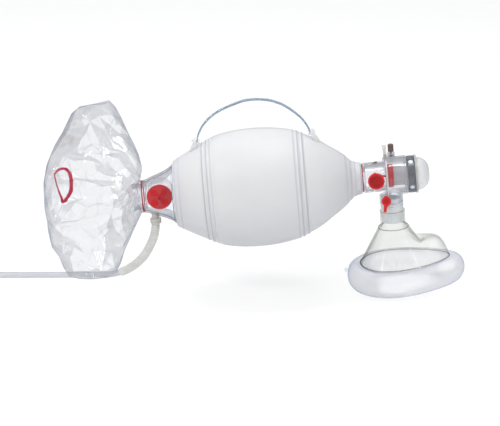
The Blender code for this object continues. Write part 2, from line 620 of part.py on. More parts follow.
for i in range(4):
    turn = math.radians(59.5 + 90 * i)
    window = rod("exhaust_window_%d" % i, 2.9, 12, 24, valve_frame, at=(22.2, 0, 0), steps=12)
    window.rotation_euler = (math.pi / 2 - turn, 0, 0)
    cut(exhaust, window)
turned("exhaust_flange", FLANGE_PROFILE, valve_frame, BLUE_GREY, steps=24)
guard = turned("splash_guard", GUARD_PROFILE, guard_frame, WHITE)
cut(guard, rod("guard_outlet", 5.4, -22, -8, guard_frame, at=(34.8, 0, 0), steps=16))

# ---------------------------------------------------------------- pressure relief
# It stands on top of the chamber: body, plunger and spring.
RELIEF_BODY_PROFILE = [(18.0, 2.8), (18.0, 3.9), (26.0, 3.9), (26.0, 1.4), (25.0, 1.4),
                       (25.0, 2.8)]
PLUNGER_PROFILE = [(20.7, 0), (20.7, 2.3), (21.7, 2.3), (21.7, 0.8), (26.4, 0.8), (26.4, 3.0),
                   (33.4, 3.0), (34.0, 2.5), (34.0, 0)]
relief_at = (RELIEF_X, 0, 0)
relief_body = turned("relief_valve_body", RELIEF_BODY_PROFILE, valve_frame, CLEAR, axis="Z",
                     at=relief_at, steps=16)
chamber_clear = rod("chamber_clearance", CHAMBER_R + GAP, -10, 30, valve_frame, axis="X",
                    steps=64)
cut(relief_body, chamber_clear)
turned("relief_plunger", PLUNGER_PROFILE, relief_frame, UMBER, axis="Z", at=relief_at, steps=16)

COIL_R, COIL_BOTTOM, COIL_RISE, WIRE_R = 1.75, 22.2, 2.3, 0.22
COIL_TURNS, STEPS_PER_TURN = 3, 8
coil_steps = COIL_TURNS * STEPS_PER_TURN
coil_line = []
for i in range(coil_steps + 1):
    turn = 2 * math.pi * i / STEPS_PER_TURN
    coil_line.append((COIL_R * math.cos(turn), COIL_R * math.sin(turn),
                      COIL_BOTTOM + COIL_RISE * i / coil_steps))
spring = round_wire("relief_spring", coil_line, WIRE_R, resolution=1)
spring.data.use_fill_caps = True
place(spring, valve_frame, relief_at)
finish(spring, STEEL)

# ---------------------------------------------------------------- override clip
CLIP_OUTLINE = [  # (x, z) points from the clip's pin
    (-1.5, -1.0), (-0.9, -1.5), (0.9, -1.5), (1.5, -1.0), (1.4, 1.2), (0.6, 2.6),
    (0.2, 9.6), (-1.1, 9.6), (-1.5, 1.2),
]
clip_at = (CLIP_X, 0, CLIP_Z)
bracket = block("clip_bracket", (-5.2, -6.6, 17.5), (-1.4, 6.6, 25.0), valve_frame, CLEAR)
cut(bracket,
    block("bracket_slot", (-7, -5.0, 20.9), (0, 5.0, 27), valve_frame),
    chamber_clear,
    rod("bracket_hole", 1.15, -8, 8, valve_frame, axis="Y", at=clip_at, steps=10))
clip = outline_solid("override_clip", CLIP_OUTLINE, 4.6, clip_frame, WHITE, at=clip_at)
cut(clip, rod("clip_hole", 1.1, -8, 8, clip_frame, axis="Y", at=clip_at, steps=12))
rod("override_clip_pin", 0.8, -6.5, 6.5, clip_frame, WHITE, axis="Y", at=clip_at, steps=12)

# ---------------------------------------------------------------- swivel connector
CONNECTOR_PROFILE = [
    (-23.6, 8.0), (-23.6, 10.3), (-28.4, 10.3), (-28.4, 12.0), (-30.0, 12.0), (-30.0, 11.3),
    (-31.2, 11.3), (-31.2, 12.0), (-33.4, 12.0), (-33.8, 11.2), (-49.5, 10.85), (-49.5, 7.5),
]
turned("swivel_connector", CONNECTOR_PROFILE, connector_frame, BLUE_GREY, axis="Z")

# ---------------------------------------------------------------- mask
RIM_HALF_LENGTH, RIM_HALF_WIDTH = 47.0, 34.4
RIM_TAPER = 0.30         # how much the rim narrows to the nose end and widens to the chin
RIM_X, RIM_Z = 10.0, -93.0
SHOULDER_R, SHOULDER_Z = 15.9, -55.7
# Rings of the round collar above the shoulder: radius and height
COLLAR = [(12.95, -37.2), (12.95, -53.4), (15.0, -54.4)]
# The nose bridge: share of the way from the shoulder to the rim, and height.
NOSE = [(0.0, SHOULDER_Z), (0.29, -73.0), (0.37, -70.8), (0.52, -70.0), (0.72, -71.2),
        (0.86, -77.0), (0.95, -85.0), (1.0, RIM_Z)]
NOSE_FULL, NOSE_FADE = 22, 38        # degrees off the nose: full shape, then blended out
# The cushion's section: distance out from the rim, and height. A groove takes the rim.
CUSHION = [
    (2.4, -95.0), (3.2, -93.5), (6.4, -93.4), (10.4, -95.2), (13.6, -99.2), (15.0, -105.0),
    (14.2, -111.2), (11.0, -116.8), (5.6, -120.2), (-0.6, -120.9), (-6.6, -118.9),
    (-11.2, -113.7), (-12.8, -107.5), (-11.6, -101.6), (-8.0, -97.8), (-2.6, -95.6),
]
SHELL_SIDES, CUSHION_SIDES = 24, 28
PLUG_PROFILE = [(51.2, 0), (51.2, 1.5), (53.2, 1.5), (53.2, 2.1), (54.2, 2.1), (54.6, 1.6),
                (54.6, 0)]


def rim_point(turn):
    """A point of the mask's rim; the nose end is at angle 0."""
    return (RIM_X + RIM_HALF_LENGTH * math.cos(turn),
            RIM_HALF_WIDTH * math.sin(turn) * (1 - RIM_TAPER * math.cos(turn)))


def point_off_rim(turn, outward):
    """A point square to the rim at the given distance outward."""
    nudge = 1e-3
    x, y = rim_point(turn)
    x0, y0 = rim_point(turn - nudge)
    x1, y1 = rim_point(turn + nudge)
    length = math.hypot(x1 - x0, y1 - y0)
    return x + (y1 - y0) / length * outward, y - (x1 - x0) / length * outward


def shell_ring(even, share, height):
    """A ring between the shoulder and the rim: evenly spaced around most of the mask, and
    shaped by the nose table near the nose."""
    ring = []
    for turn in full_turn(SHELL_SIDES):
        off_nose = abs((turn + math.pi) % (2 * math.pi) - math.pi)
        nose = 1 - smoothstep((off_nose - math.radians(NOSE_FULL)) / math.radians(NOSE_FADE))
        out = mix(even, share, nose)
        z = mix(mix(SHOULDER_Z, RIM_Z, even), height, nose)
        x, y = rim_point(turn)
        ring.append((mix(SHOULDER_R * math.cos(turn), x, out),
                     mix(SHOULDER_R * math.sin(turn), y, out), z - MASK_Z))
    return ring


shell_rings = [[(radius * math.cos(turn), radius * math.sin(turn), z - MASK_Z)
                for turn in full_turn(SHELL_SIDES)] for radius, z in COLLAR]
shell_rings += [shell_ring(i / (len(NOSE) - 1), share, height)
                for i, (share, height) in enumerate(NOSE)]
loft("mask_shell", shell_rings, mask_frame, CLEAR, at=(0, 0, MASK_Z), wall=1.3)

cushion_rings = [[(*point_off_rim(turn, outward), z - MASK_Z) for outward, z in CUSHION]
                 for turn in full_turn(CUSHION_SIDES)]
cushion = loft("mask_cushion", cushion_rings, mask_frame, CLEAR_PVC, at=(0, 0, MASK_Z),
               closed_tube=True)
# The cushion is flat where it rests on the floor.
cut(cushion, block("floor_cut", (-120, -120, -CENTRE_HEIGHT - 40), (160, 120, -CENTRE_HEIGHT),
                   floor_frame))
turned("cushion_inflation_plug", PLUG_PROFILE, mask_frame, CLEAR_PVC, axis="-X",
       at=(0, 0, -97.0), steps=12)
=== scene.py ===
# A bag-valve resuscitator: a squeeze bag with a handle strap, an air intake with a reservoir
# pouch and an oxygen hose at its -X end, and a patient valve with a face mask at its +X end.
# The mask and hose rest on the floor, z = 0, and the camera looks from the front, -Y.
# Shapes are in mm and become metres through MM. Materials, lights and camera are in metres.
import math

import bmesh
import bpy
import numpy as np
from mathutils import Matrix, Vector, noise
from mathutils.bvhtree import BVHTree
from mathutils.geometry import delaunay_2d_cdt


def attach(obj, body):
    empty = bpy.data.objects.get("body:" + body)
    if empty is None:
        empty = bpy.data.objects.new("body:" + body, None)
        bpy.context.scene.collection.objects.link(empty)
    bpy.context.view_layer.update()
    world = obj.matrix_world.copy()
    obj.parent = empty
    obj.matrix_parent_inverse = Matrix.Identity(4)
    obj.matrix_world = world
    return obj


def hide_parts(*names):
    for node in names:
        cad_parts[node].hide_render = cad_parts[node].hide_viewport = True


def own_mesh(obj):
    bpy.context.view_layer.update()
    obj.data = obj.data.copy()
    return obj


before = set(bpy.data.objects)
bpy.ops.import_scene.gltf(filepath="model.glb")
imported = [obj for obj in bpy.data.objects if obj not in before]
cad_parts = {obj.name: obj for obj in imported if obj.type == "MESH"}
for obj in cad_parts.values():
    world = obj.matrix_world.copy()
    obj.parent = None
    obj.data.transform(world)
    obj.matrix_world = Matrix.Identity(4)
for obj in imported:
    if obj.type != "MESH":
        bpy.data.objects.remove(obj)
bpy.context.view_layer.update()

MM = 0.001

# ------------------------------------------------------------------ frames of the part
# All frames share an origin, where the valve's axis crosses the mask's. BAG has X along the
# bag and rises toward +X; MASK is BAG turned about its Z; FLOOR stays level.
PITCH, YAW = math.radians(5.0), math.radians(5.95)
CENTRE = Vector((192.8, 0, 122.0)) * MM
FLOOR = Matrix.Translation(CENTRE)
BAG = FLOOR @ Matrix.Rotation(-PITCH, 4, "Y")
MASK = BAG @ Matrix.Rotation(YAW, 4, "Z")
BAG_X, BAG_Z = (BAG.to_3x3() @ Vector(v) for v in ((1, 0, 0), (0, 0, 1)))
ORIGIN = (0, 0, 0)

# Turns that lay a shape's own Z along a direction.
TO_X = Matrix.Rotation(math.pi / 2, 4, "Y")
TO_LEFT = Matrix.Rotation(-math.pi / 2, 4, "Y")
TO_BACK = Matrix.Rotation(-math.pi / 2, 4, "X")
TO_FRONT = Matrix.Rotation(math.pi / 2, 4, "X")
TO_Z = Matrix.Identity(4)

# The camera looks down at this angle, and a few details are placed along its line of sight.
VIEW_TIP = math.radians(17.5)
TO_CAMERA = Vector((0, -math.cos(VIEW_TIP), math.sin(VIEW_TIP)))


# ------------------------------------------------------------------ curves
def mix(a, b, t):
    return a + (b - a) * t


def smooth(t):
    t = min(max(t, 0.0), 1.0)
    return t * t * (3 - 2 * t)


def spline(table, x):
    """Smooth (monotone cubic) interpolation of rows (x, value)."""
    xs, ys = zip(*table)
    if x <= xs[0]:
        return ys[0]
    if x >= xs[-1]:
        return ys[-1]
    last = len(xs) - 1
    i = max(k for k in range(last) if xs[k] <= x)
    rise = [(ys[k + 1] - ys[k]) / (xs[k + 1] - xs[k]) for k in range(last)]

    def slope(k):
        if k == 0:
            return rise[0]
        if k == last:
            return rise[-1]
        if rise[k - 1] * rise[k] <= 0:
            return 0.0
        return 2 * rise[k - 1] * rise[k] / (rise[k - 1] + rise[k])

    step = xs[i + 1] - xs[i]
    t = (x - xs[i]) / step
    return ((2 * t ** 3 - 3 * t ** 2 + 1) * ys[i] + (t ** 3 - 2 * t ** 2 + t) * step * slope(i)
            + (-2 * t ** 3 + 3 * t ** 2) * ys[i + 1] + (t ** 3 - t ** 2) * step * slope(i + 1))


def catmull(points, count):
    """A Catmull-Rom curve through the points."""
    ends = [points[0]] + list(points) + [points[-1]]
    out, spans = [], len(points) - 1
    for n in range(count):
        t = n / (count - 1) * spans
        i = min(int(t), spans - 1)
        t -= i
        p0, p1, p2, p3 = (Vector(p) for p in ends[i:i + 4])
        out.append(0.5 * (2 * p1 + (p2 - p0) * t + (2 * p0 - 5 * p1 + 4 * p2 - p3) * t ** 2
                          + (3 * p1 - p0 - 3 * p2 + p3) * t ** 3))
    return out


def even(points, count):
    """The same path at even steps of length, and its length."""
    run = [0.0]
    for a, b in zip(points, points[1:]):
        run.append(run[-1] + (b - a).length)
    out, i = [], 0
    for n in range(count):
        want = run[-1] * n / (count - 1)
        while i < len(run) - 2 and run[i + 1] < want:
            i += 1
        t = (want - run[i]) / max(run[i + 1] - run[i], 1e-9)
        out.append(points[i].lerp(points[i + 1], min(max(t, 0), 1)))
    return out, run[-1]


def upright(pairs):
    """(x, z) pairs as points in the plane y = 0."""
    return [Vector((x, 0, z)) for x, z in pairs]


def rounded(profile, radius, loop):
    """The same outline with its corners rounded."""
    last, out = len(profile) - 1, []
    for i, p in enumerate(profile):
        if not loop and i in (0, last):
            out.append(p)
            continue
        p, before, after = Vector(p), Vector(profile[i - 1]), Vector(profile[(i + 1) % (last + 1)])
        if (p - before).normalized().angle((after - p).normalized(), 0) < math.radians(16):
            out.append(tuple(p))
            continue
        r = min(radius, 0.45 * (before - p).length, 0.45 * (after - p).length)
        start, end = p + (before - p).normalized() * r, p + (after - p).normalized() * r
        for t in (0, 0.25, 0.5, 0.75, 1):
            out.append(tuple((1 - t) ** 2 * start + 2 * t * (1 - t) * p + t * t * end))
    return out


def band(start, end, inner, outer):
    """The profile of a plain ring, or of a disc when inner is 0."""
    return [(start, inner), (start, outer), (end, outer), (end, inner)]


# ------------------------------------------------------------------ mesh helpers
def bmesh_to_mesh(name, bm):
    mesh = bpy.data.meshes.new(name)
    bm.to_mesh(mesh)
    bm.free()
    return mesh


def clean_mesh(name, verts, faces, merge=0):
    """A mesh with its normals facing out, and vertices closer than merge joined."""
    mesh = bpy.data.meshes.new(name)
    mesh.from_pydata(verts, [], faces)
    bm = bmesh.new()
    bm.from_mesh(mesh)
    if merge:
        bmesh.ops.remove_doubles(bm, verts=bm.verts, dist=merge)
    bmesh.ops.recalc_face_normals(bm, faces=bm.faces)
    bm.to_mesh(mesh)
    bm.free()
    return mesh


def add_object(name, mesh):
    obj = bpy.data.objects.new(name, mesh)
    bpy.context.scene.collection.objects.link(obj)
    return obj


def shade(mesh, angle):
    mesh.shade_smooth()
    mesh.set_sharp_from_angle(angle=math.radians(angle))


def link(name, mesh, matrix=TO_Z, angle=38):
    mesh.transform(matrix)
    mesh.validate()
    shade(mesh, angle)
    return add_object(name, mesh)


def grid_mesh(name, rings, closed=False, caps=False):
    """A skin through rings of points; closed joins the last ring to the first."""
    n, m = len(rings), len(rings[0])
    verts = [tuple(c * MM for c in p) for ring in rings for p in ring]
    faces = []
    for i in range(n if closed else n - 1):
        a, b = i * m, ((i + 1) % n) * m
        for j in range(m):
            k = (j + 1) % m
            faces.append((a + j, a + k, b + k, b + j))
    if caps:
        faces.append(tuple(range(m))[::-1])
        faces.append(tuple(range((n - 1) * m, n * m)))
    return clean_mesh(name, verts, faces, merge=1e-7)


def skin(name, rings, matrix=BAG, angle=38, **ends):
    return link(name, grid_mesh(name, rings, **ends), matrix, angle)


def placed(at, axis, matrix=BAG):
    return matrix @ Matrix.Translation(Vector(at) * MM) @ axis


def turned(name, profile, axis=TO_X, at=ORIGIN, steps=72, matrix=BAG, corner=0.3, angle=38):
    """A turned shape from (place along the axis, radius) pairs: a loop, or ends on the axis."""
    loop = min(r for _, r in profile) > 1e-6
    if corner:
        profile = rounded(profile, corner, loop)
    turns = [2 * math.pi * j / steps for j in range(steps)]
    rings = [[(r * math.cos(turn), r * math.sin(turn), h) for turn in turns] for h, r in profile]
    return skin(name, rings, placed(at, axis, matrix), angle, closed=loop)


def plate(name, outline, y0, y1, at=ORIGIN, corner=0.0):
    """A flat outline of (x, z) points between y0 and y1."""
    if corner:
        outline = rounded(outline, corner, True)
    bm = bmesh.new()
    front, back = [[bm.verts.new(Vector((x + at[0], y + at[1], z + at[2])) * MM)
                    for x, z in outline] for y in (y0, y1)]
    n = len(front)
    for j in range(n):
        k = (j + 1) % n
        bm.faces.new((front[j], front[k], back[k], back[j]))
    bm.faces.new(front)
    bm.faces.new(back[::-1])
    bmesh.ops.recalc_face_normals(bm, faces=bm.faces)
    return link(name, bmesh_to_mesh(name, bm), BAG)


def rod(radius, start, end, axis=TO_Z, at=ORIGIN, steps=48):
    """A plain round rod, mostly a cutter."""
    bm = bmesh.new()
    bmesh.ops.create_cone(bm, cap_ends=True, segments=steps, radius1=radius * MM,
                          radius2=radius * MM, depth=(end - start) * MM)
    bmesh.ops.translate(bm, verts=bm.verts, vec=(0, 0, (start + end) / 2 * MM))
    mesh = bmesh_to_mesh("cutter", bm)
    mesh.transform(placed(at, axis))
    return add_object("cutter", mesh)


def block(low, high):
    """A box-shaped cutter between two corners."""
    bm = bmesh.new()
    bmesh.ops.create_cube(bm, size=1)
    for v in bm.verts:
        v.co = Vector([mix(a, b, c + 0.5) * MM for a, b, c in zip(low, high, v.co)])
    mesh = bmesh_to_mesh("cutter", bm)
    mesh.transform(BAG)
    return add_object("cutter", mesh)


def axial_holes(radius, start, end, reach, count, first=0):
    """Cutters along X, spread evenly on a circle of radius reach; first is in degrees."""
    turns = [math.radians(360 // count * i + first) for i in range(count)]
    return [rod(radius, start, end, TO_X, (0, reach * math.cos(turn), reach * math.sin(turn)), 28)
            for turn in turns]


def bake(obj, remove=(), angle=38):
    """Applies the modifiers and deletes the objects they used."""
    bpy.context.view_layer.update()
    graph = bpy.context.evaluated_depsgraph_get()
    mesh = bpy.data.meshes.new_from_object(obj.evaluated_get(graph))
    obj.modifiers.clear()
    obj.data = mesh
    for other in remove:
        bpy.data.objects.remove(other, do_unlink=True)
    shade(mesh, angle)
    return obj


def carve(obj, *cutters, join=(), angle=38):
    """Adds the joined objects, then takes the cutters away."""
    steps = [("UNION", other) for other in join] + [("DIFFERENCE", other) for other in cutters]
    for operation, other in steps:
        boolean = obj.modifiers.new("b", "BOOLEAN")
        boolean.operation, boolean.solver, boolean.object = operation, "EXACT", other
    return bake(obj, [other for _, other in steps], angle)


def soften(obj, width):
    """A small bevel on the sharper edges."""
    bevel = obj.modifiers.new("bevel", "BEVEL")
    bevel.width, bevel.segments, bevel.limit_method = width * MM, 2, "ANGLE"
    bevel.angle_limit = math.radians(35)
    bevel.harden_normals = False
    return bake(obj, angle=50)


def thicken(obj, thickness, offset, angle):
    wall = obj.modifiers.new("wall", "SOLIDIFY")
    wall.thickness, wall.offset = thickness * MM, offset
    bake(obj, angle=angle)


def sweep(points, radii, sides):
    """Round rings along a path, one radius for each point or one for all."""
    n = len(points)
    if not isinstance(radii, list):
        radii = [radii] * n
    turns = [2 * math.pi * j / sides for j in range(sides)]
    rings, up = [], Vector((0, 1, 0))
    for i, (p, r) in enumerate(zip(points, radii)):
        ahead = (points[min(i + 1, n - 1)] - points[max(i - 1, 0)]).normalized()
        side = ahead.cross(up).normalized()
        up = side.cross(ahead).normalized()
        rings.append([tuple(p + side * (r * math.cos(turn)) + up * (r * math.sin(turn)))
                      for turn in turns])
    return rings


def finish(obj, body, look, node=None):
    """Gives a piece its material, the body it rides on and the CAD piece it replaces."""
    obj.data.materials.clear()
    obj.data.materials.append(look)
    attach(obj, body)
    if node:
        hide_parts(node)


def turned_piece(name, profile, body, look, node=None, **shape):
    finish(turned(name, profile, **shape), body, look, node)


def swept_piece(name, path, radii, sides, body, look, node=None):
    obj = skin(name, sweep(path, radii, sides), angle=60, caps=True)
    finish(obj, body, look, node)
    return obj


# ------------------------------------------------------------------ material helpers
class Nodes:
    """Short names for building a node tree."""

    def __init__(self, tree):
        self.tree = tree
        tree.nodes.clear()

    def add(self, kind, inputs=None, **settings):
        node = self.tree.nodes.new("ShaderNode" + kind)
        for key, value in settings.items():
            setattr(node, key, value)
        for key, value in (inputs or {}).items():
            self.put(node.inputs[key], value)
        return node

    def put(self, socket, value):
        if isinstance(value, bpy.types.NodeSocket):
            self.tree.links.new(value, socket)
        elif isinstance(value, bpy.types.Node):
            self.tree.links.new(value.outputs[0], socket)
        else:
            if isinstance(value, tuple) and len(value) == 3 and socket.type == "RGBA":
                value = (*value, 1)
            socket.default_value = value

    def math(self, operation, a, b, c=0.0, clamp=False):
        return self.add("Math", {0: a, 1: b, 2: c}, operation=operation,
                        use_clamp=clamp).outputs[0]

    def times(self, a, b, clamp=False):
        return self.math("MULTIPLY", a, b, clamp=clamp)

    def one_less(self, value, share):
        """1 - value * share"""
        return self.math("SUBTRACT", 1.0, self.times(value, share))

    def ramp(self, value, span, to=(0.0, 1.0), kind="SMOOTHSTEP"):
        return self.add("MapRange", {0: value, 1: span[0], 2: span[1], 3: to[0], 4: to[1]},
                        interpolation_type=kind).outputs[0]

    def mix_colour(self, factor, a, b):
        return self.add("Mix", {0: factor, 6: a, 7: b}, data_type="RGBA").outputs[2]

    def mix_shader(self, factor, a, b):
        return self.add("MixShader", {0: factor, 1: a, 2: b}).outputs[0]

    def noise(self, scale, detail=3.0, rough=0.5, distortion=0.0):
        return self.add("TexNoise", {
            "Scale": scale, "Detail": detail, "Roughness": rough, "Distortion": distortion,
            "Vector": self.at}).outputs["Fac"]

    def bump(self, height, strength, distance):
        return self.add("Bump", {"Height": height, "Strength": strength,
                                 "Distance": distance}).outputs[0]

    def facing(self):
        return self.add("LayerWeight", {"Blend": 0.5}).outputs["Facing"]

    def transparent(self, colour):
        return self.add("BsdfTransparent", {"Color": colour})

    def scatter(self, through, colour, normal):
        """Matte, with a share let through to the far side."""
        inputs = {"Color": colour, "Normal": normal}
        return self.mix_shader(through, self.add("BsdfDiffuse", inputs),
                               self.add("BsdfTranslucent", inputs))

    def gloss(self, rough, normal):
        return self.add("BsdfGlossy", {"Color": (1, 1, 1), "Roughness": rough, "Normal": normal})

    def fresnel(self, ior, normal):
        return self.add("Fresnel", {"IOR": ior, "Normal": normal}).outputs[0]

    def reflection(self, normal, ior, gain, cap, edge, fade):
        """The share of reflection, capped, and fading on the edge line."""
        share = self.math("MINIMUM", self.times(self.fresnel(ior, normal), gain), cap)
        return self.times(share, self.one_less(edge, fade))

    def surface(self, shader):
        self.add("OutputMaterial", {"Surface": shader})

    def clear_surface(self, look, tint):
        """Shadow and diffuse rays meet a plain tint instead of the full look."""
        ray = self.add("LightPath").outputs
        aside = self.math("MAXIMUM", ray["Is Shadow Ray"], ray["Is Diffuse Ray"])
        self.surface(self.mix_shader(aside, look, self.transparent(tint)))


def material(name):
    made = bpy.data.materials.new(name)
    made.use_nodes = True
    net = Nodes(made.node_tree)
    net.at = net.add("TexCoord").outputs["Object"]
    return made, net


def clear(name, tint, edge, power=6.0, mid=None, mid_power=2.0, mid_share=0.35, milk=0.0,
          milk_edge=0.0, milk_colour=(0.9, 0.91, 0.93), gloss=1.0, cap=0.6, rough=0.06,
          bump=0.15, scale=120.0, streak=0.0):
    """A thin clear wall: tinted see-through, with painted shade where it is seen edge on (a thin
    darker line, and a softer shade before that), a coat of reflection, and a share of milky
    scatter."""
    made, net = material(name)
    wave = net.noise(scale=scale, detail=2.0, distortion=0.6)
    normal = net.bump(wave, strength=bump, distance=0.0006)
    face = net.facing()
    grain = net.noise(scale=scale * 0.35, detail=4.0, rough=0.6)
    grain_span = (0.3, 0.7)
    # painted shade: a thin dark line where the wall is seen edge on, and a softer shade before it
    line = net.times(net.math("POWER", face, power), net.ramp(grain, grain_span, to=(0.8, 1.0)),
                     clamp=True)
    half = net.times(net.math("POWER", face, mid_power), mid_share, clamp=True)
    soft = mid or tuple(0.55 * a + 0.45 * b for a, b in zip(tint, edge))
    colour = net.mix_colour(half, tint, soft)
    if streak:
        lines = net.noise(scale=scale * 0.5, detail=2.0, rough=0.4, distortion=1.5)
        colour = net.mix_colour(net.ramp(lines, (0.55, 0.75), to=(0.0, streak)), colour, soft)
    # painted shade: the edge colour laid on the edge-on line
    colour = net.mix_colour(line, colour, edge)
    milky = net.scatter(0.5, milk_colour, normal)
    amount = net.ramp(net.math("POWER", face, 3.0), (0.0, 1.0), to=(milk, milk + milk_edge),
                      kind="LINEAR")
    body = net.mix_shader(net.times(amount, net.one_less(line, 0.8)), net.transparent(colour),
                          milky)
    coat = net.gloss(net.ramp(grain, grain_span, to=(rough, rough * 1.8)), normal)
    reflect = net.reflection(normal, ior=1.46, gain=gloss, cap=cap, edge=line, fade=0.75)
    net.clear_surface(net.mix_shader(reflect, body, coat),
                      tuple(0.5 + 0.5 * c * (1 - 0.4 * milk) for c in tint))
    return made


def solid(name, colour, dark, rough=0.4, scale=300.0, bump=0.15, spec=0.5, ribs=None, coat=0.0,
          through=0.0):
    """A moulded plastic or silicone: two tones in a fine grain, a soft sheen, a little bump.
    ribs is the scale of bands across X, with painted shade in their grooves; through is a
    see-through share."""
    made, net = material(name)
    grain = net.noise(scale=scale, detail=5.0, rough=0.6)
    broad = net.noise(scale=scale * 0.08, detail=2.0)
    blend = net.math("MULTIPLY_ADD", grain, 0.5, net.times(broad, 0.5))
    tone = net.mix_colour(net.ramp(blend, (0.35, 0.65)), dark, colour)
    height = grain
    if ribs:
        wave = net.add("TexWave", {"Vector": net.at, "Scale": ribs, "Distortion": 0.0},
                       wave_type="BANDS", bands_direction="X").outputs["Fac"]
        height = net.math("MULTIPLY_ADD", wave, 1.0, net.times(grain, 0.15))
        # painted shade: the bands darken toward their grooves
        tone = net.mix_colour(net.ramp(wave, (0.2, 0.7), to=(0.55, 0.0)), tone, dark)
    shader = net.add("BsdfPrincipled", {
        "Base Color": tone,
        "Roughness": net.ramp(grain, (0.3, 0.7), to=(rough * 0.85, rough * 1.15)),
        "Specular IOR Level": spec,
        "Normal": net.bump(height, strength=bump, distance=0.0008 if ribs else 0.0003),
        "Coat Weight": coat, "Coat Roughness": 0.15, "Subsurface Scale": 0.003}).outputs[0]
    if through:
        shader = net.mix_shader(through, shader, net.transparent(colour))
    net.surface(shader)
    return made


# Painted shade along the moulded ring grooves round the bag: place along the bag, width (m),
# darkness.
BAG_GROOVE_SHADE = (
    (-0.1922, 0.0008, 0.62), (-0.1875, 0.0008, 0.50), (-0.1835, 0.0006, 0.30),
    (-0.0975, 0.0006, 0.38), (-0.0932, 0.0008, 0.56), (-0.0880, 0.0008, 0.60),
    (-0.0452, 0.0004, 0.30), (-0.0408, 0.0004, 0.35), (-0.0362, 0.0004, 0.35),
    (-0.2222, 0.0007, 0.30), (-0.2178, 0.0007, 0.30))


def frosted():
    """The bag: translucent silicone, nearly white, greyer toward its ends; painted shade makes it
    greyer low down, in its moulded ring grooves and just inside its upper outline, and a painted
    highlight lightens it where seen edge on."""
    made, net = material("frosted_silicone")
    from_centre = net.add("VectorMath", {0: net.at, 1: tuple(CENTRE)},
                          operation="SUBTRACT").outputs[0]
    along, height = (net.add("VectorMath", {0: from_centre, 1: tuple(axis)},
                             operation="DOT_PRODUCT").outputs["Value"] for axis in (BAG_X, BAG_Z))
    grain = net.noise(scale=900.0, detail=4.0, rough=0.6)
    cloud = net.noise(scale=22.0, distortion=0.5)
    face = net.facing()
    # painted shade: greyer low down, lighter toward the top where the light falls
    tone = net.mix_colour(net.ramp(height, (-0.062, 0.02)), (0.835, 0.84, 0.862),
                          (0.89, 0.89, 0.895))
    tone = net.mix_colour(net.ramp(cloud, (0.35, 0.7), to=(0.0, 0.5)), tone,
                          (0.845, 0.845, 0.86))
    ends = net.math("MAXIMUM", net.ramp(along, (-0.198, -0.224), to=(0.0, 0.55)),
                    net.ramp(along, (-0.075, -0.042), to=(0.0, 0.6)))
    tone = net.mix_colour(ends, tone, (0.77, 0.77, 0.80))
    # painted shade: darker along each moulded ring groove
    for where, wide, dark in BAG_GROOVE_SHADE:
        gap = net.math("ABSOLUTE", net.math("SUBTRACT", along, where), 0.0)
        tone = net.mix_colour(net.ramp(gap, (0.0, wide * 1.6), to=(dark, 0.0)), tone,
                              (0.36, 0.40, 0.47))
    # painted highlight: lighter where the skin is seen nearly edge on
    tone = net.mix_colour(net.ramp(face, (0.80, 0.99), to=(0.0, 0.85)), tone,
                          (0.94, 0.945, 0.955))
    # painted shade: a thin darker line just inside the upper outline, where the wall is seen
    # nearly edge on, standing in for its inner face
    normal = net.add("NewGeometry").outputs["Normal"]
    up = net.add("SeparateXYZ", {0: normal}).outputs["Z"]
    wall = net.times(net.ramp(face, (0.74, 0.80)), net.ramp(face, (0.83, 0.89), to=(1.0, 0.0)))
    wall = net.times(net.times(wall, net.ramp(up, (0.55, 0.85))),
                     net.ramp(along, (-0.215, -0.180)))
    tone = net.mix_colour(net.times(wall, 0.30), tone, (0.50, 0.52, 0.57))
    normal = net.bump(grain, strength=0.12, distance=0.0003)
    body = net.mix_shader(net.ramp(face, (0.3, 1.0), to=(0.20, 0.06)),
                          net.scatter(0.34, tone, normal), net.transparent((0.93, 0.93, 0.945)))
    sheen = net.gloss(net.ramp(grain, (0.3, 0.7), to=(0.34, 0.46)), normal)
    net.surface(net.mix_shader(net.times(net.fresnel(1.4, normal), 0.8), body, sheen))
    return made


def film_material():
    """Thin clear film: see-through, with painted shade where folded edge on, in grey patches and
    along its creases, and sharp white glints.
    """
    made, net = material("reservoir_film")
    face = net.facing()
    fine = net.noise(scale=150.0, rough=0.6, distortion=0.8)
    cloud = net.noise(scale=30.0, detail=4.0, rough=0.6, distortion=1.2)
    cell = net.add("TexVoronoi", {"Vector": net.at, "Scale": 48.0, "Randomness": 1.0},
                   feature="DISTANCE_TO_EDGE").outputs["Distance"]
    fold = net.ramp(cell, (0.0, 0.05), to=(1.0, 0.0))
    creases = net.math("MULTIPLY_ADD", fold, 0.25, net.times(fine, 0.4))
    height = net.math("MULTIPLY_ADD", cloud, 1.2, creases)
    normal = net.bump(height, strength=0.35, distance=0.0012)
    # painted shade: greyer where the film is seen edge on, with a dark line at the very edge
    line = net.math("POWER", face, 5.0)
    half = net.times(net.math("POWER", face, 2.0), 0.55, clamp=True)
    colour = net.mix_colour(half, (0.955, 0.958, 0.965), (0.66, 0.69, 0.74))
    # painted shade: grey patches across the film
    patches = net.times(net.ramp(cloud, (0.5, 0.72), to=(0.0, 0.5)),
                        net.ramp(fine, (0.35, 0.6), to=(0.3, 1.0)))
    colour = net.mix_colour(patches, colour, (0.78, 0.80, 0.825))
    # painted shade: darker along the creases
    folds = net.times(fold, net.ramp(cloud, (0.42, 0.6), to=(0.0, 0.35)))
    colour = net.mix_colour(folds, colour, (0.60, 0.63, 0.68))
    colour = net.mix_colour(line, colour, (0.20, 0.24, 0.32))
    body = net.mix_shader(net.ramp(half, (0.0, 0.6), to=(0.04, 0.12), kind="LINEAR"),
                          net.transparent(colour), net.scatter(0.5, (0.80, 0.81, 0.83), normal))
    reflect = net.reflection(normal, ior=1.5, gain=2.4, cap=0.5, edge=line, fade=0.7)
    net.clear_surface(net.mix_shader(reflect, body, net.gloss(0.08, normal)),
                      (0.94, 0.943, 0.95))
    return made
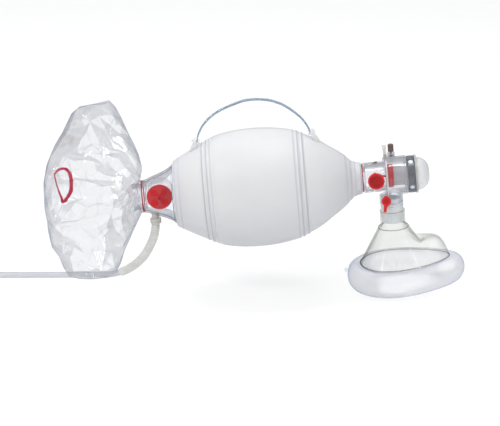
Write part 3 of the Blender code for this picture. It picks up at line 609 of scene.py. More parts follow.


# ------------------------------------------------------------------ materials
# In the clear looks below, edge and mid are painted shade colours for walls seen edge on.
CLEAR = clear("clear_plastic", tint=(0.955, 0.96, 0.97), edge=(0.16, 0.19, 0.26), power=9.0,
              mid_power=3.0, milk=0.02, milk_edge=0.12, gloss=1.2, rough=0.07, bump=0.12,
              scale=160)
HOUSING = clear("housing_plastic", tint=(0.965, 0.97, 0.98), edge=(0.015, 0.03, 0.10),
                power=5.5, mid=(0.66, 0.72, 0.82), mid_power=3.0, mid_share=0.5, milk_edge=0.08,
                gloss=0.7, rough=0.08, bump=0.2, streak=0.15)
MASK_CLEAR = clear("mask_plastic", tint=(0.965, 0.967, 0.96), edge=(0.05, 0.065, 0.04),
                   mid=(0.86, 0.87, 0.84), mid_power=4.0, mid_share=0.6, milk=0.01,
                   milk_edge=0.03, gloss=0.16, cap=0.2, rough=0.10, bump=0.1, scale=90,
                   streak=0.05)
PANE = solid("window_plastic", colour=(0.70, 0.78, 0.85), dark=(0.56, 0.65, 0.74), rough=0.3,
             coat=0.3)
HOOK = clear("hook_plastic", tint=(0.80, 0.84, 0.86), edge=(0.08, 0.12, 0.14), power=1.6,
             milk=0.25, gloss=1.3, rough=0.1, scale=200)
BEAD = clear("mask_bead", tint=(0.74, 0.76, 0.71), edge=(0.16, 0.18, 0.12), power=1.8,
             mid_share=0.8, milk=0.05, milk_edge=0.05, gloss=1.2, rough=0.1, scale=200)
AMBER = clear("amber_rim", tint=(0.90, 0.72, 0.54), edge=(0.42, 0.26, 0.14), power=2.5,
              milk=0.3, milk_edge=0.1, milk_colour=(0.88, 0.62, 0.40), rough=0.15, scale=200)
CUSHION = clear("cushion_vinyl", tint=(0.945, 0.948, 0.958), edge=(0.22, 0.35, 0.64), power=4.5,
                mid=(0.72, 0.75, 0.84), mid_power=2.6, mid_share=0.5, milk=0.30, milk_edge=0.12,
                milk_colour=(0.93, 0.932, 0.95), gloss=0.8, rough=0.12, bump=0.4, scale=60,
                streak=0.45)
STRAP = clear("handle_vinyl", tint=(0.95, 0.965, 0.975), edge=(0.22, 0.34, 0.47), milk=0.06,
              milk_edge=0.05, gloss=1.2, rough=0.08, bump=0.2, scale=200)
STRAP_EDGE = clear("handle_edge", tint=(0.76, 0.82, 0.87), edge=(0.20, 0.31, 0.44), power=2.6,
                   milk=0.1, milk_edge=0.05, milk_colour=(0.5, 0.6, 0.7), gloss=1.2, rough=0.1,
                   bump=0.2, scale=200)
TUBE = clear("tube_vinyl", tint=(0.88, 0.89, 0.91), edge=(0.30, 0.33, 0.39), power=3.5,
             milk=0.36, milk_edge=0.3, milk_colour=(0.80, 0.81, 0.83), gloss=1.2, rough=0.12,
             bump=0.25, scale=220)
SLEEVE = clear("sleeve_vinyl", tint=(0.88, 0.875, 0.87), edge=(0.48, 0.47, 0.46), power=2.6,
               milk=0.55, milk_edge=0.25, milk_colour=(0.86, 0.85, 0.83), rough=0.2, bump=0.4,
               scale=320)
CUP = solid("cup_vinyl", colour=(0.62, 0.60, 0.57), dark=(0.50, 0.48, 0.45), scale=280,
            bump=0.2, through=0.15)
DOME = clear("dome_plastic", tint=(0.97, 0.972, 0.975), edge=(0.42, 0.44, 0.48), milk=0.55,
             milk_edge=0.2, milk_colour=(0.96, 0.962, 0.965), rough=0.15, bump=0.2, scale=150)
DUCT = clear("duct_plastic", tint=(0.82, 0.82, 0.825), edge=(0.3, 0.3, 0.31), power=3.0,
             milk=0.55, milk_edge=0.2, milk_colour=(0.70, 0.69, 0.70), gloss=0.8, rough=0.2,
             bump=0.3, scale=400, streak=0.3)
SEAT = clear("seat_plastic", tint=(0.95, 0.95, 0.955), edge=(0.5, 0.52, 0.56), power=5.0,
             milk=0.4, milk_edge=0.25, milk_colour=(0.93, 0.935, 0.94), gloss=0.9, rough=0.15,
             bump=0.2, scale=200)
FLAP = clear("overflow_silicone", tint=(0.955, 0.955, 0.96), edge=(0.5, 0.5, 0.55), power=5.0,
             milk=0.22, milk_edge=0.2, gloss=0.7, rough=0.25, bump=0.2, scale=300)
RED = solid("red_silicone", colour=(0.56, 0.006, 0.011), dark=(0.34, 0.003, 0.007), rough=0.38,
            scale=420, bump=0.2, spec=0.35)
STUD = solid("red_stud", colour=(0.13, 0.012, 0.012), dark=(0.07, 0.008, 0.008), rough=0.45,
             scale=500, bump=0.2)
RED_FACE = solid("red_ribbed", colour=(0.62, 0.016, 0.018), dark=(0.26, 0.008, 0.008),
                 rough=0.45, scale=900, bump=0.4, spec=0.3, ribs=420)
RED_CAP = solid("red_plastic", colour=(0.560, 0.008, 0.010), dark=(0.55, 0.007, 0.009),
                rough=0.33, scale=500, bump=0.2, spec=0.4, coat=0.2)
RED_CLEAR = solid("red_clear", colour=(0.62, 0.03, 0.06), dark=(0.4, 0.02, 0.03), rough=0.3,
                  scale=260, bump=0.2, through=0.35)
LEVER = solid("lever_plastic", colour=(0.70, 0.66, 0.64), dark=(0.52, 0.48, 0.46), rough=0.45,
              scale=260, bump=0.2, through=0.1)
GREY = solid("grey_plastic", colour=(0.125, 0.135, 0.145), dark=(0.075, 0.08, 0.086),
             rough=0.32, scale=240, bump=0.2, spec=0.6, coat=0.5)
UMBER = solid("umber_plastic", colour=(0.12, 0.085, 0.068), dark=(0.07, 0.05, 0.04), bump=0.2)
FLANGE = solid("flange_plastic", colour=(0.46, 0.455, 0.44), dark=(0.34, 0.34, 0.33), scale=260,
               bump=0.2, coat=0.2)
CONNECTOR = solid("connector_plastic", colour=(0.70, 0.735, 0.765), dark=(0.60, 0.64, 0.675),
                  rough=0.42, scale=260, bump=0.25, through=0.12)
STEEL = solid("spring_steel", colour=(0.5, 0.5, 0.5), dark=(0.35, 0.35, 0.36), rough=0.3,
              bump=0.1)
BAG_SKIN = frosted()
FILM = film_material()
PRINT = solid("printed_mark", colour=(0.42, 0.012, 0.05), dark=(0.30, 0.006, 0.035), rough=0.35,
              scale=500, bump=0.2)

# ------------------------------------------------------------------ squeeze bag
# The outline of the bag: place along X, radius.
BAG_START, BAG_END = -224.0, -30.3
BAG_LINE = [
    (BAG_START, 34.0), (-221.5, 35.5), (-213.0, 40.2), (-205.0, 44.4), (-196.5, 48.6),
    (-188.0, 52.8), (-177.7, 57.1), (-167.0, 59.6), (-157.0, 60.9), (-146.0, 61.6),
    (-136.0, 61.7), (-125.0, 61.2), (-115.0, 60.1), (-104.5, 58.3), (-94.0, 55.3),
    (-83.6, 50.5), (-73.0, 45.1), (-62.7, 38.1), (-52.3, 31.0), (-47.0, 27.0),
    (-41.8, 21.9), (-37.0, 18.2), (BAG_END, 16.6),
]
# Moulded rings: where, how wide, how high.
RINGS = ((-192.0, 1.0, 0.55), (-187.2, 1.2, 0.6), (-183.2, 1.0, 0.45), (-97.5, 1.0, 0.45),
         (-93.0, 1.2, 0.6), (-88.0, 1.0, 0.6), (-45.0, 0.7, 0.35), (-40.8, 0.7, 0.35),
         (-36.2, 0.7, 0.35), (-219.0, 1.0, 0.3))
BAG_WALL = 1.7


def bag_radius(x):
    """The bag's radius with its rings, each a ridge beside a shallower groove."""
    r = spline(BAG_LINE, x)
    for where, wide, high in RINGS:
        d = (x - where) / wide
        r += high * (math.exp(-d * d) - 0.75 * math.exp(-(d - 2.0) ** 2))
    return r


def bag():
    steps = 420
    stations = [mix(BAG_START, BAG_END, i / steps) for i in range(steps + 1)]
    outer = [(x, bag_radius(x)) for x in stations]
    inner = [(BAG_END, 14.5), (-43.0, 14.5)]
    inner += [(x, spline(BAG_LINE, x) - BAG_WALL) for x in range(-48, -213, -3)]
    inner += [(-216.2, 36.6), (-216.9, 31.3), (BAG_START, 31.3)]
    turned_piece("squeeze_bag_skin", outer + inner, "bag", BAG_SKIN, "squeeze_bag", steps=128,
                 corner=0, angle=50)


bag()

# ------------------------------------------------------------------ handle
# The strap's centre line, (x, z), from its -X end to its +X end.
STRAP_REAR_X, STRAP_FRONT_X = -195.8, -79.0
HANDLE_LINE = [
    (STRAP_REAR_X, 51.6), (-195.8, 56.0), (-194.6, 60.5), (-192.4, 65.2), (-188.6, 70.9),
    (-182.5, 77.2), (-175.1, 82.5), (-167.0, 86.4), (-157.1, 90.0), (-144.7, 93.4),
    (-132.5, 94.0), (-118.7, 91.9), (-107.7, 87.6), (-99.5, 82.2), (-91.4, 75.1),
    (-85.8, 68.9), (-81.6, 62.0), (-79.2, 56.0), (STRAP_FRONT_X, 51.6),
]
PIVOT_Z = 54.0
STRAP_HALF = 3.5
# The strap's section: share of the half width, half thickness.
STRAP_HALF_SECTION = [(-1, 0.55), (-0.96, 0.75), (-0.8, 0.75), (-0.72, 0.6), (0.72, 0.6),
                      (0.8, 0.75), (0.96, 0.75), (1, 0.55)]
STRAP_SECTION = ([(a, -thick) for a, thick in STRAP_HALF_SECTION]
                 + STRAP_HALF_SECTION[::-1])


def handle_strap():
    """A moulded strap: thicker along both edges, rounded at its ends."""
    path, _ = even(catmull(upright(HANDLE_LINE), 240), 160)
    last = len(path) - 1
    rings = []
    for i, p in enumerate(path):
        ahead = (path[min(i + 1, last)] - path[max(i - 1, 0)]).normalized()
        up = Vector((-ahead.z, 0, ahead.x))
        share = i / last
        end = min(share, 1 - share) * 240
        wide = STRAP_HALF * math.sqrt(max(1 - max(1 - end / STRAP_HALF, 0) ** 2, 0.15))
        rings.append([tuple(p + up * thick + Vector((0, 1, 0)) * (across * wide))
                      for across, thick in STRAP_SECTION])
    strap = skin("handle_strap_soft", rings, caps=True)
    carve(strap, *[rod(1.85, -2, 2, TO_X, (x, 0, PIVOT_Z), 32)
                   for x in (STRAP_REAR_X, STRAP_FRONT_X)], angle=45)
    finish(strap, "handle", STRAP, "handle_strap")
    for side, y in (("front", -3.05), ("back", 3.05)):
        line = [p + Vector((0, y, 0)) for p in path[3:-3]]
        swept_piece("handle_edge_" + side, line, 0.62, 14, "handle", STRAP_EDGE)


def handle_pins():
    """A headed pin through each end of the strap; rear is toward -X."""
    pin = [(0, 0), (0, 2.4), (1.2, 2.4), (1.2, 1.5), (7.0, 1.5), (7.0, 2.4), (8.2, 2.4), (8.2, 0)]
    for end, x, sign, look in (("rear", -193.5, -1, HOUSING), ("front", -81.3, 1, CLEAR)):
        turned_piece(end + "_handle_rivet", [(sign * h, r) for h, r in pin], "handle", look,
                     end + "_handle_pin", at=(x, 0, PIVOT_Z), steps=40, corner=0.4)


# The lugs on the bag that hold the pins, (x, z).
LUG_TOP = 56.9
LUGS = {
    "rear_handle_lug": [(-207, 40), (-204.5, 45.5), (-202.3, 49.8), (-200.2, 50.9),
                        (-200.2, LUG_TOP), (-196.9, LUG_TOP), (-196.9, 40)],
    "front_handle_lug": [(-77.9, 40), (-77.9, LUG_TOP), (-74.6, LUG_TOP), (-74.6, 50.6),
                         (-72.5, 49.2), (-70.0, 45.6), (-67.5, 36)],
}


def lugs():
    stations = [BAG_START + i * 2 for i in range(97)]
    bag_core = ([(BAG_START, 0)] + [(x, spline(BAG_LINE, x) + 0.1) for x in stations]
                + [(BAG_END, 0)])
    for name, outline in LUGS.items():
        lug = plate(name + "_soft", outline, -4, 4)
        middle = sum(x for x, z in outline if z == LUG_TOP) / 2
        carve(lug, turned("core", bag_core, corner=0, steps=96),
              rod(1.9, -8, 8, TO_X, (middle, 0, PIVOT_Z), 32))
        soften(lug, 0.6)
        finish(lug, "bag", BAG_SKIN, name)


handle_strap()
handle_pins()
lugs()

# ------------------------------------------------------------------ air intake housing
# The red flap on the front and the overflow flap on the back share this place.
FLAP_X, FLAP_Z = -240.0, 1.5
# The housing's outer and inner outlines: place along X, radius.
HOUSING_START, HOUSING_END = -257.0, -224.4
HOUSING_OUT = [(HOUSING_START, 17.0), (-254.5, 17.4), (-247.5, 20.0), (-240.5, 22.4),
               (-232.0, 26.0), (-226.0, 29.9), (HOUSING_END, 31.8)]
HOUSING_IN = [(-262.0, 15.2), (-254.5, 15.6), (-247.5, 18.2), (-240.5, 20.5), (-232.0, 24.0),
              (-225.5, 28.4), (-222.5, 29.3), (-212.0, 29.3)]
OXYGEN_X = -247.2


def flank(start, end, depth, sign):
    """A block that flattens the front (sign -1) or back (1), outward from depth."""
    low, high = sorted((sign * depth, sign * 45.0))
    return block((start, low, -40), (end, high, 40))


def housing():
    stations = [mix(HOUSING_START, HOUSING_END, i / 40) for i in range(41)]
    curve = [(x, spline(HOUSING_OUT, x)) for x in stations]
    body = turned("intake_housing_clear", [(HOUSING_START, 0)] + curve
                  + [(HOUSING_END, 30.9), (-217.4, 30.9), (-217.4, 0)], steps=96, corner=0.25)
    inside = [(x, spline(HOUSING_IN, x)) for x in range(-262, -211)]
    cavity = turned("cavity", [(-262.0, 0)] + inside + [(-212.0, 0)], corner=0, steps=96)
    cuts = []
    for sign in (-1, 1):
        carve(cavity, flank(-255.7, -224.7, 13.0, sign))
        cuts.append(flank(-254.4, -226.1, 14.5, sign))
    cuts.append(cavity)
    for i in range(4):
        turn = math.radians(45 + 90 * i)
        at = (FLAP_X + 7.2 * math.cos(turn), 0, FLAP_Z + 7.2 * math.sin(turn))
        cuts.append(rod(3.6, -17, 17, TO_BACK, at, 28))
    cuts.append(rod(1.5, -17, 17, TO_BACK, (FLAP_X, 0, FLAP_Z), 20))
    cuts.append(rod(4.2, -30, -10, TO_Z, (OXYGEN_X, 0, 0), 32))
    carve(body, *cuts)
    soften(body, 0.35)
    finish(body, "bag", HOUSING, "intake_housing")


def housing_flaps():
    """Two studded flaps, one on each flat side."""
    flap = [(-0.5, 0), (-0.5, 13.4), (0.5, 13.4), (0.5, 1.0), (3.9, 1.0), (3.9, 2.2), (4.8, 2.2),
            (4.8, 0)]
    front = (FLAP_X, -12.0, FLAP_Z)
    turned_piece("air_inlet_flap", flap, "air_disc", RED, "air_inlet_disc", axis=TO_FRONT,
                 at=front, steps=80, corner=0.25)
    turned_piece("air_flap_stud", [(4.3, 0), (4.3, 1.35), (4.9, 1.35), (5.15, 1.0), (5.15, 0)],
                 "air_disc", STUD, axis=TO_FRONT, at=front, steps=32, corner=0.1)
    turned_piece("overflow_flap", [(-h, r) for h, r in flap], "overflow", FLAP, "overflow_disc",
                 axis=TO_BACK, at=(FLAP_X, 15.4, FLAP_Z), steps=80, corner=0.25)


def inlet_valve():
    """The pierced disc between housing and bag, its flap and its rivet."""
    seat = turned("inlet_seat_clear", band(-221.0, -219.2, 0, 28.9), steps=96)
    carve(seat, *axial_holes(4.0, -224, -216, reach=10.5, count=6),
          rod(1.5, -224, -216, TO_X, steps=20))
    finish(seat, "bag", CLEAR, "inlet_valve_seat")
    turned_piece("inlet_flap", band(-218.8, -217.8, 1.6, 17.8), "inlet_disc", RED_CLEAR,
                 "inlet_valve_disc", steps=80)
    turned_piece("inlet_rivet", [(-222.6, 0), (-222.6, 2.6), (-221.4, 2.6), (-221.4, 1.1),
                                 (-215.2, 1.1), (-215.2, 3.0), (-214.2, 3.0), (-214.2, 0)],
                 "bag", SEAT, "inlet_valve_pin", steps=40)


def reservoir_neck():
    turned_piece("reservoir_seal", band(-258.5, -257.3, 15.2, 16.9), "reservoir", RED_CLEAR,
                 "reservoir_gasket", steps=80)
    turned_piece("reservoir_neck_clear", [
        (-268.0, 14.2), (-260.6, 14.2), (-260.6, 17.0), (-258.8, 17.0), (-258.8, 14.8),
        (-255.9, 14.8), (-255.9, 13.3), (-268.0, 13.0)],
        "reservoir", CLEAR, "reservoir_neck_ring", steps=80)


housing()
housing_flaps()
inlet_valve()
reservoir_neck()

# ------------------------------------------------------------------ oxygen line
# Centre lines in the FLOOR frame: the ribbed sleeve coming down, the tube along the floor.
SLEEVE_LINE = [(-243.9, 0.1, -52.0), (-245.0, 1.0, -62.0), (-248.4, 3.4, -73.5),
               (-256.2, 9.0, -89.5), (-265.4, 16.5, -101.7), (-274.5, 23.0, -110.0),
               (-282.5, 26.8, -114.9)]
FLOOR_LINE = [(-283.1, 27.0, -115.2), (-293.5, 29.0, -118.2), (-305.0, 29.5, -118.75),
              (-330.0, 29.0, -118.75), (-370.0, 28.4, -118.75), (-410.0, 27.8, -118.75),
              (-436.0, 27.5, -118.75)]


def tube(name, points, radius, wall, count, look, node, ribs=None):
    """A hollow hose; ribs gives (spacing, height, share of the length they cover)."""
    path, length = even(catmull(points, 400), count)
    outer = [radius] * count
    if ribs:
        spacing, height, cover = ribs
        for i in range(count):
            s = i / (count - 1)
            fade = smooth(s / 0.04) * (1 - smooth((s - cover) / 0.06))
            wave = 0.5 + 0.5 * math.cos(2 * math.pi * s * length / spacing)
            outer[i] += height * fade * wave - height * 0.5 * fade
    rings = sweep(path, outer, 40) + sweep(path, radius - wall, 40)[::-1]
    finish(skin(name, rings, FLOOR, angle=60, closed=True), "bag", look, node)


def oxygen_line():
    turned_piece("oxygen_cup", [
        (-18.2, 3.8), (-24.6, 3.8), (-24.6, 5.6), (-25.2, 5.85), (-27.6, 5.85), (-27.9, 5.5),
        (-28.4, 5.5), (-28.7, 5.85), (-29.7, 5.85), (-29.7, 1.9), (-18.2, 1.9)],
        "bag", CUP, "oxygen_connector", axis=TO_Z, at=(OXYGEN_X, 0, 0), steps=64, corner=0.2)
    tube("tube_sleeve_ribbed", SLEEVE_LINE, radius=4.3, wall=1.1, count=300, look=SLEEVE,
         node="tube_sleeve", ribs=(2.9, 0.75, 0.97))
    tube("oxygen_tube_soft", FLOOR_LINE, radius=3.15, wall=0.9, count=160, look=TUBE,
         node="oxygen_tube")
    turned_piece("supply_cuff", [
        (-466.0, 3.0), (-466.0, 5.6), (-463.6, 5.6), (-463.2, 5.2), (-461.6, 5.2),
        (-461.2, 5.6), (-459.6, 5.6), (-459.2, 5.2), (-457.6, 5.2), (-457.2, 5.6),
        (-452.0, 5.6), (-449.0, 4.6), (-436.4, 4.6), (-436.4, 2.4), (-450.0, 2.4), (-453.0, 3.0)],
        "bag", CLEAR, "supply_connector", at=(0, 27.5, -116.25), matrix=FLOOR, corner=0.25)


oxygen_line()

# ------------------------------------------------------------------ patient valve: neck
VALVE_R = 19.9
MEDICATION_PORT = (-14.9, 0, 1.0)


def dashes(name, x0, x1, inner, outer, count, share, body, look):
    """A ring broken into short blocks."""
    verts, faces = [], []
    for k in range(count):
        start, end = 2 * math.pi * k / count, 2 * math.pi * (k + share) / count
        base = len(verts)
        for i in range(5):
            turn = mix(start, end, i / 4)
            for x, r in ((x0, inner), (x1, inner), (x1, outer), (x0, outer)):
                verts.append((x * MM, r * math.cos(turn) * MM, r * math.sin(turn) * MM))
        for i in range(4):
            for q in range(4):
                a, b = base + i * 4 + q, base + i * 4 + (q + 1) % 4
                faces.append((a, b, b + 4, a + 4))
        faces.append((base, base + 3, base + 2, base + 1))
        faces.append((base + 16, base + 17, base + 18, base + 19))
    ring = link(name, clean_mesh(name, verts, faces), BAG)
    finish(soften(ring, 0.15), body, look)


def neck_rings():
    turned_piece("neck_ring_soft", [(-44.0, 12.6), (-44.0, 14.1), (-29.9, 14.1), (-29.9, 16.3),
                                    (-29.0, 16.3), (-29.0, 12.6)],
                 "bag", BAG_SKIN, "neck_swivel_ring", steps=96)
    dashes("neck_seal_red", -28.7, -27.8, 12.9, 14.9, count=22, share=0.66, body="bag", look=RED)
    dashes("chamber_seal_red", -4.1, -3.95, 15.2, 16.2, count=16, share=0.5, body="valve",
           look=RED_CLEAR)
    # a thin ring at the far end of the intake housing
    turned_piece("intake_ring", band(-254.4, -253.9, 12.2, 12.75), "bag", RED_CLEAR, steps=96,
                 corner=0.1)


def neck_hook():
    """A small clear hook lying on the neck's shoulder, with a darker tip."""
    up = Vector((0, math.sin(VIEW_TIP), math.cos(VIEW_TIP)))

    def on(x, rise, r=16.5):
        """A point on a cylinder about X, rise above the side that faces the camera."""
        turn = math.asin(rise / r)
        return Vector((x, 0, 0)) + r * (math.sin(turn) * up + math.cos(turn) * TO_CAMERA)

    path, _ = even(catmull([on(-26.6, 6.4), on(-26.4, 8.6), on(-25.4, 10.9), on(-22.4, 12.8),
                            on(-17.7, 13.9), on(-13.4, 15.0)], 120), 60)
    swept_piece("neck_hook", path, 0.85, 16, "valve", HOOK)
    tip, _ = even(catmull([on(-16.4, 14.3, 16.9), on(-14.4, 14.8, 16.9), on(-12.2, 15.3, 16.9)],
                          60), 24)
    radii = [1.05 * math.sqrt(max(1 - abs(2 * (i / 23) - 1) ** 6, 0.05)) for i in range(24)]
    swept_piece("neck_hook_tip", tip, radii, 20, "valve", GREY)


def valve_neck():
    neck = turned("valve_neck_clear", [
        (-41.0, 10.7), (-41.0, 12.1), (-27.4, 12.1), (-27.4, 15.7), (-6.0, 15.7),
        (-6.0, VALVE_R), (-4.3, VALVE_R), (-4.3, 14.2), (-25.8, 14.2), (-25.8, 10.7)],
        steps=96, corner=1.2)
    carve(neck, rod(4.4, 9.0, 20.0, TO_FRONT, MEDICATION_PORT, 48),
          join=[rod(6.2, 14.9, 17.8, TO_FRONT, MEDICATION_PORT, 64)])
    finish(neck, "valve", CLEAR, "valve_neck")


def medication_cap():
    """A round cap with a pull tab, and a face grooved upright."""
    at = MEDICATION_PORT
    cap = turned("medication_cap", [
        (15.4, 0), (15.4, 4.0), (18.2, 4.0), (18.2, 8.6), (20.6, 8.6), (21.2, 8.1), (21.2, 7.0),
        (20.7, 6.7), (20.7, 0)], axis=TO_FRONT, at=at, steps=96, corner=0.25)
    tab = plate("tab", [(-3.4, 6.8), (-1.6, 9.6), (-0.2, 9.7), (0.4, 7.6), (0, 6.0)],
                -20.6, -18.6, at, corner=0.5)
    carve(cap, join=[tab])
    finish(cap, "medication_cap", RED_CAP, "medication_port_cap")
    face = turned("medication_cap_face", band(20.55, 20.95, 0, 6.6), axis=TO_FRONT, at=at,
                  steps=80, corner=0.1)
    for i in range(9):
        x = -6.0 + i * 1.5
        half = math.sqrt(6.4 ** 2 - x * x)
        carve(face, block((at[0] + x - 0.28, -21.3, at[2] - half),
                          (at[0] + x + 0.28, -20.75, at[2] + half)))
    finish(face, "medication_cap", RED_FACE)


neck_rings()
neck_hook()
valve_neck()
medication_cap()

# ------------------------------------------------------------------ patient valve: chamber
PRESSURE_X = -5.9
PRESSURE_PORT = (PRESSURE_X, 0, -23.6)
PRESSURE_CAP_Z = -22.6
RELIEF_X = 3.0
HINGE = (-3.4, 0, 22.9)
WINDOW_X = 22.2


def valve_seat():
    seat = turned("valve_seat_white", band(-3.9, -2.3, 0, VALVE_R), steps=96)
    carve(seat, *axial_holes(3.2, -6, 0, reach=7.0, count=5, first=90),
          rod(1.4, -6, 0, TO_X, steps=20))
    finish(seat, "valve", SEAT, "valve_seat")
    turned_piece("shutter_soft", [
        (-8.6, 0), (-8.6, 2.0), (-7.6, 2.0), (-7.6, 1.0), (-1.9, 1.0), (-1.9, 11.8),
        (-1.5, 12.2), (1.0, 12.2), (3.8, 11.7), (3.8, 10.9), (0.2, 11.0), (-0.7, 10.2),
        (-0.7, 0)], "shutter", RED, "shutter_valve", steps=96, corner=0.2)


def valve_chamber():
    """The drum, with the patient port below it and a small pressure port in front."""
    chamber = turned("valve_chamber_clear", band(-2.0, 18.0, 0, VALVE_R), steps=96, corner=0.8)
    patient = carve(rod(12.2, -28.0, -16.0, steps=72), block((-14, -14, -20.3), (-2.0, 14, -10)))
    throat = carve(rod(10.2, -22.5, -14.0, steps=72), block((-14, -14, -25), (-0.2, 14, -10)))
    carve(chamber, rod(18.3, -5, 25, TO_X, steps=96), rod(10.7, -30.0, -21.9, steps=72), throat,
          rod(1.9, 9.0, 16.0, TO_FRONT, PRESSURE_PORT, 28),
          join=[patient, rod(3.4, 9.0, 14.5, TO_FRONT, PRESSURE_PORT, 40)])
    finish(chamber, "valve", CLEAR, "valve_chamber")


def exhaust():
    """The duct, a grey ring with four round windows, a pale liner behind them, the flange and
    the dome at the +X end."""
    turned_piece("exhaust_duct_pale", [(2.9, 9.0), (2.9, 10.5), (15.8, 10.5), (15.8, 18.0),
                                       (17.2, 18.0), (17.2, 9.0)],
                 "valve", DUCT, "exhaust_duct", steps=96)
    ring = turned("exhaust_ring_grey", [(18.3, 16.4), (18.3, 18.6), (18.9, 19.3), (25.6, 19.3),
                                        (26.0, 18.9), (26.0, 16.4)], steps=96, corner=0.2)
    at = (WINDOW_X, 0, 0)
    tilts = [Matrix.Rotation(math.pi / 2 - math.radians(59.5 + 90 * i), 4, "X") for i in range(4)]
    carve(ring, *[rod(2.9, 12, 24, tilt, at, 40) for tilt in tilts])
    finish(ring, "valve", GREY, "exhaust_ring")
    for i, tilt in enumerate(tilts):
        pane = rod(2.75, 17.3, 18.7, tilt, at)
        pane.name = "exhaust_pane_%d" % (i + 1)
        finish(soften(pane, 0.35), "valve", PANE)
    turned_piece("exhaust_liner", band(18.6, 25.9, 15.3, 16.2), "valve", CONNECTOR, steps=96,
                 corner=0.1)
    turned_piece("exhaust_flange_grey", band(26.3, 28.4, 12.6, VALVE_R), "valve", FLANGE,
                 "exhaust_flange", steps=96, corner=0.5)
    dome = turned("splash_dome", [
        (41.3, 0), (41.2, 4.0), (40.6, 8.0), (38.6, 12.0), (35.5, 14.9), (32.0, 16.6),
        (28.7, 17.0), (28.7, 15.3), (31.6, 14.9), (34.8, 13.3), (37.3, 10.8), (39.1, 7.2),
        (39.7, 0)], steps=96, corner=0)
    carve(dome, rod(5.4, -22, -8, at=(34.8, 0, 0)))
    finish(dome, "splash", DOME, "splash_guard")


def barrel():
    """A cutter that trims what sits on the valve to its round outside."""
    return rod(20.0, -10, 30, TO_X, steps=96)


def relief_valve():
    at = (RELIEF_X, 0, 0)
    body = turned("relief_body_clear", [
        (18.0, 2.8), (18.0, 3.9), (20.6, 3.9), (20.9, 3.5), (21.5, 3.5), (21.8, 3.9),
        (24.6, 3.9), (26.0, 3.5), (26.0, 1.4), (25.0, 1.4), (25.0, 2.8)],
        axis=TO_Z, at=at, steps=64, corner=0.2)
    carve(body, barrel())
    finish(body, "valve", CLEAR, "relief_valve_body")
    turned_piece("relief_button", [
        (20.7, 0), (20.7, 2.3), (21.7, 2.3), (21.7, 0.8), (26.4, 0.8), (26.4, 3.0), (33.4, 3.0),
        (34.0, 2.5), (34.0, 0)], "relief", UMBER, "relief_plunger", axis=TO_Z, at=at, steps=56)
    turns = [2 * math.pi * i / 24 for i in range(73)]
    coil = [Vector((RELIEF_X + 1.75 * math.cos(turn), 1.75 * math.sin(turn),
                    22.2 + 2.3 * i / 72)) for i, turn in enumerate(turns)]
    spring = swept_piece("relief_coil", coil, 0.22, 12, "valve", STEEL, "relief_spring")
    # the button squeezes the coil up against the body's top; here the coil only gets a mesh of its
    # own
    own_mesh(spring)


def override_clip():
    """A forked bracket on top of the chamber, with a lever on a cross pin."""
    bracket = plate("clip_bracket_clear", [(-5.2, 17.5), (-1.4, 17.5), (-1.4, 25.0),
                                           (-5.2, 25.0)], -6.6, 6.6)
    carve(bracket, block((-7, -5.0, 20.9), (0, 5.0, 27)), barrel(),
          rod(1.15, -8, 8, TO_BACK, HINGE, 24))
    soften(bracket, 0.4)
    finish(bracket, "valve", CLEAR, "clip_bracket")
    lever = plate("override_lever", [
        (-1.5, -1.0), (-0.9, -1.5), (0.9, -1.5), (1.5, -1.0), (1.4, 1.2), (0.6, 2.6), (0.9, 5.4),
        (1.7, 9.6), (-2.6, 9.6), (-2.2, 5.0), (-1.5, 1.2)], -4.6, 4.6, HINGE)
    carve(lever, rod(1.1, -8, 8, TO_BACK, HINGE, 24))
    soften(lever, 0.35)
    finish(lever, "clip", LEVER, "override_clip")
    pin = rod(0.8, -6.5, 6.5, TO_BACK, HINGE, 32)
    pin.name = "override_hinge_pin"
    finish(soften(pin, 0.15), "clip", LEVER, "override_clip_pin")


def pressure_cap():
    """A round cap with a nub on top and a tail below, dished in front."""
    outline = []
    for i in range(49):
        turn = math.radians(-55 + 290 * i / 48)
        degrees = math.degrees(turn)
        nub = 1.2 * smooth((degrees - 60) / 14) * (1 - smooth((degrees - 106) / 14))
        outline.append((5.0 * math.cos(turn), 5.0 * math.sin(turn) + nub))
    outline += [(-3.2, -5.6), (-3.7, -11.6), (-0.8, -11.8), (0.3, -6.2)]
    cap = plate("pressure_cap", outline, -1.1, 1.1, (PRESSURE_X, -16.0, PRESSURE_CAP_Z))
    middle = (PRESSURE_X, 0, PRESSURE_CAP_Z)
    dent = turned("dent", [(16.6, 0), (16.6, 3.0), (17.4, 3.4), (17.4, 0)], axis=TO_FRONT,
                  at=middle, steps=48, corner=0)
    carve(cap, dent, join=[rod(1.5, 12.0, 15.6, TO_FRONT, PRESSURE_PORT, 32)])
    soften(cap, 0.3)
    finish(cap, "pressure_cap", RED_CAP, "pressure_port_cap")
    turned_piece("pressure_cap_face", band(16.5, 16.8, 0, 2.9), "pressure_cap", RED_FACE,
                 axis=TO_FRONT, at=middle, steps=48, corner=0.1)


def swivel_connector():
    turned_piece("swivel_connector_blue", [
        (-23.6, 8.0), (-23.6, 10.3), (-28.4, 10.3), (-28.4, 12.0), (-30.0, 12.0), (-30.0, 11.3),
        (-31.2, 11.3), (-31.2, 12.0), (-33.4, 12.0), (-33.8, 11.2), (-49.5, 10.85),
        (-49.5, 7.5)],
        "connector", CONNECTOR, "swivel_connector", axis=TO_Z, steps=96, corner=0.25)


valve_seat()
valve_chamber()
exhaust()
relief_valve()
override_clip()
pressure_cap()
swivel_connector()

# ------------------------------------------------------------------ mask
# The egg-shaped foot: half length, half width, how much it narrows toward +X, middle, height.
RIM_LENGTH, RIM_WIDTH, RIM_TAPER, RIM_X, RIM_Z = 47.0, 34.4, 0.30, 10.0, -93.0
SHOULDER_Z = -55.7
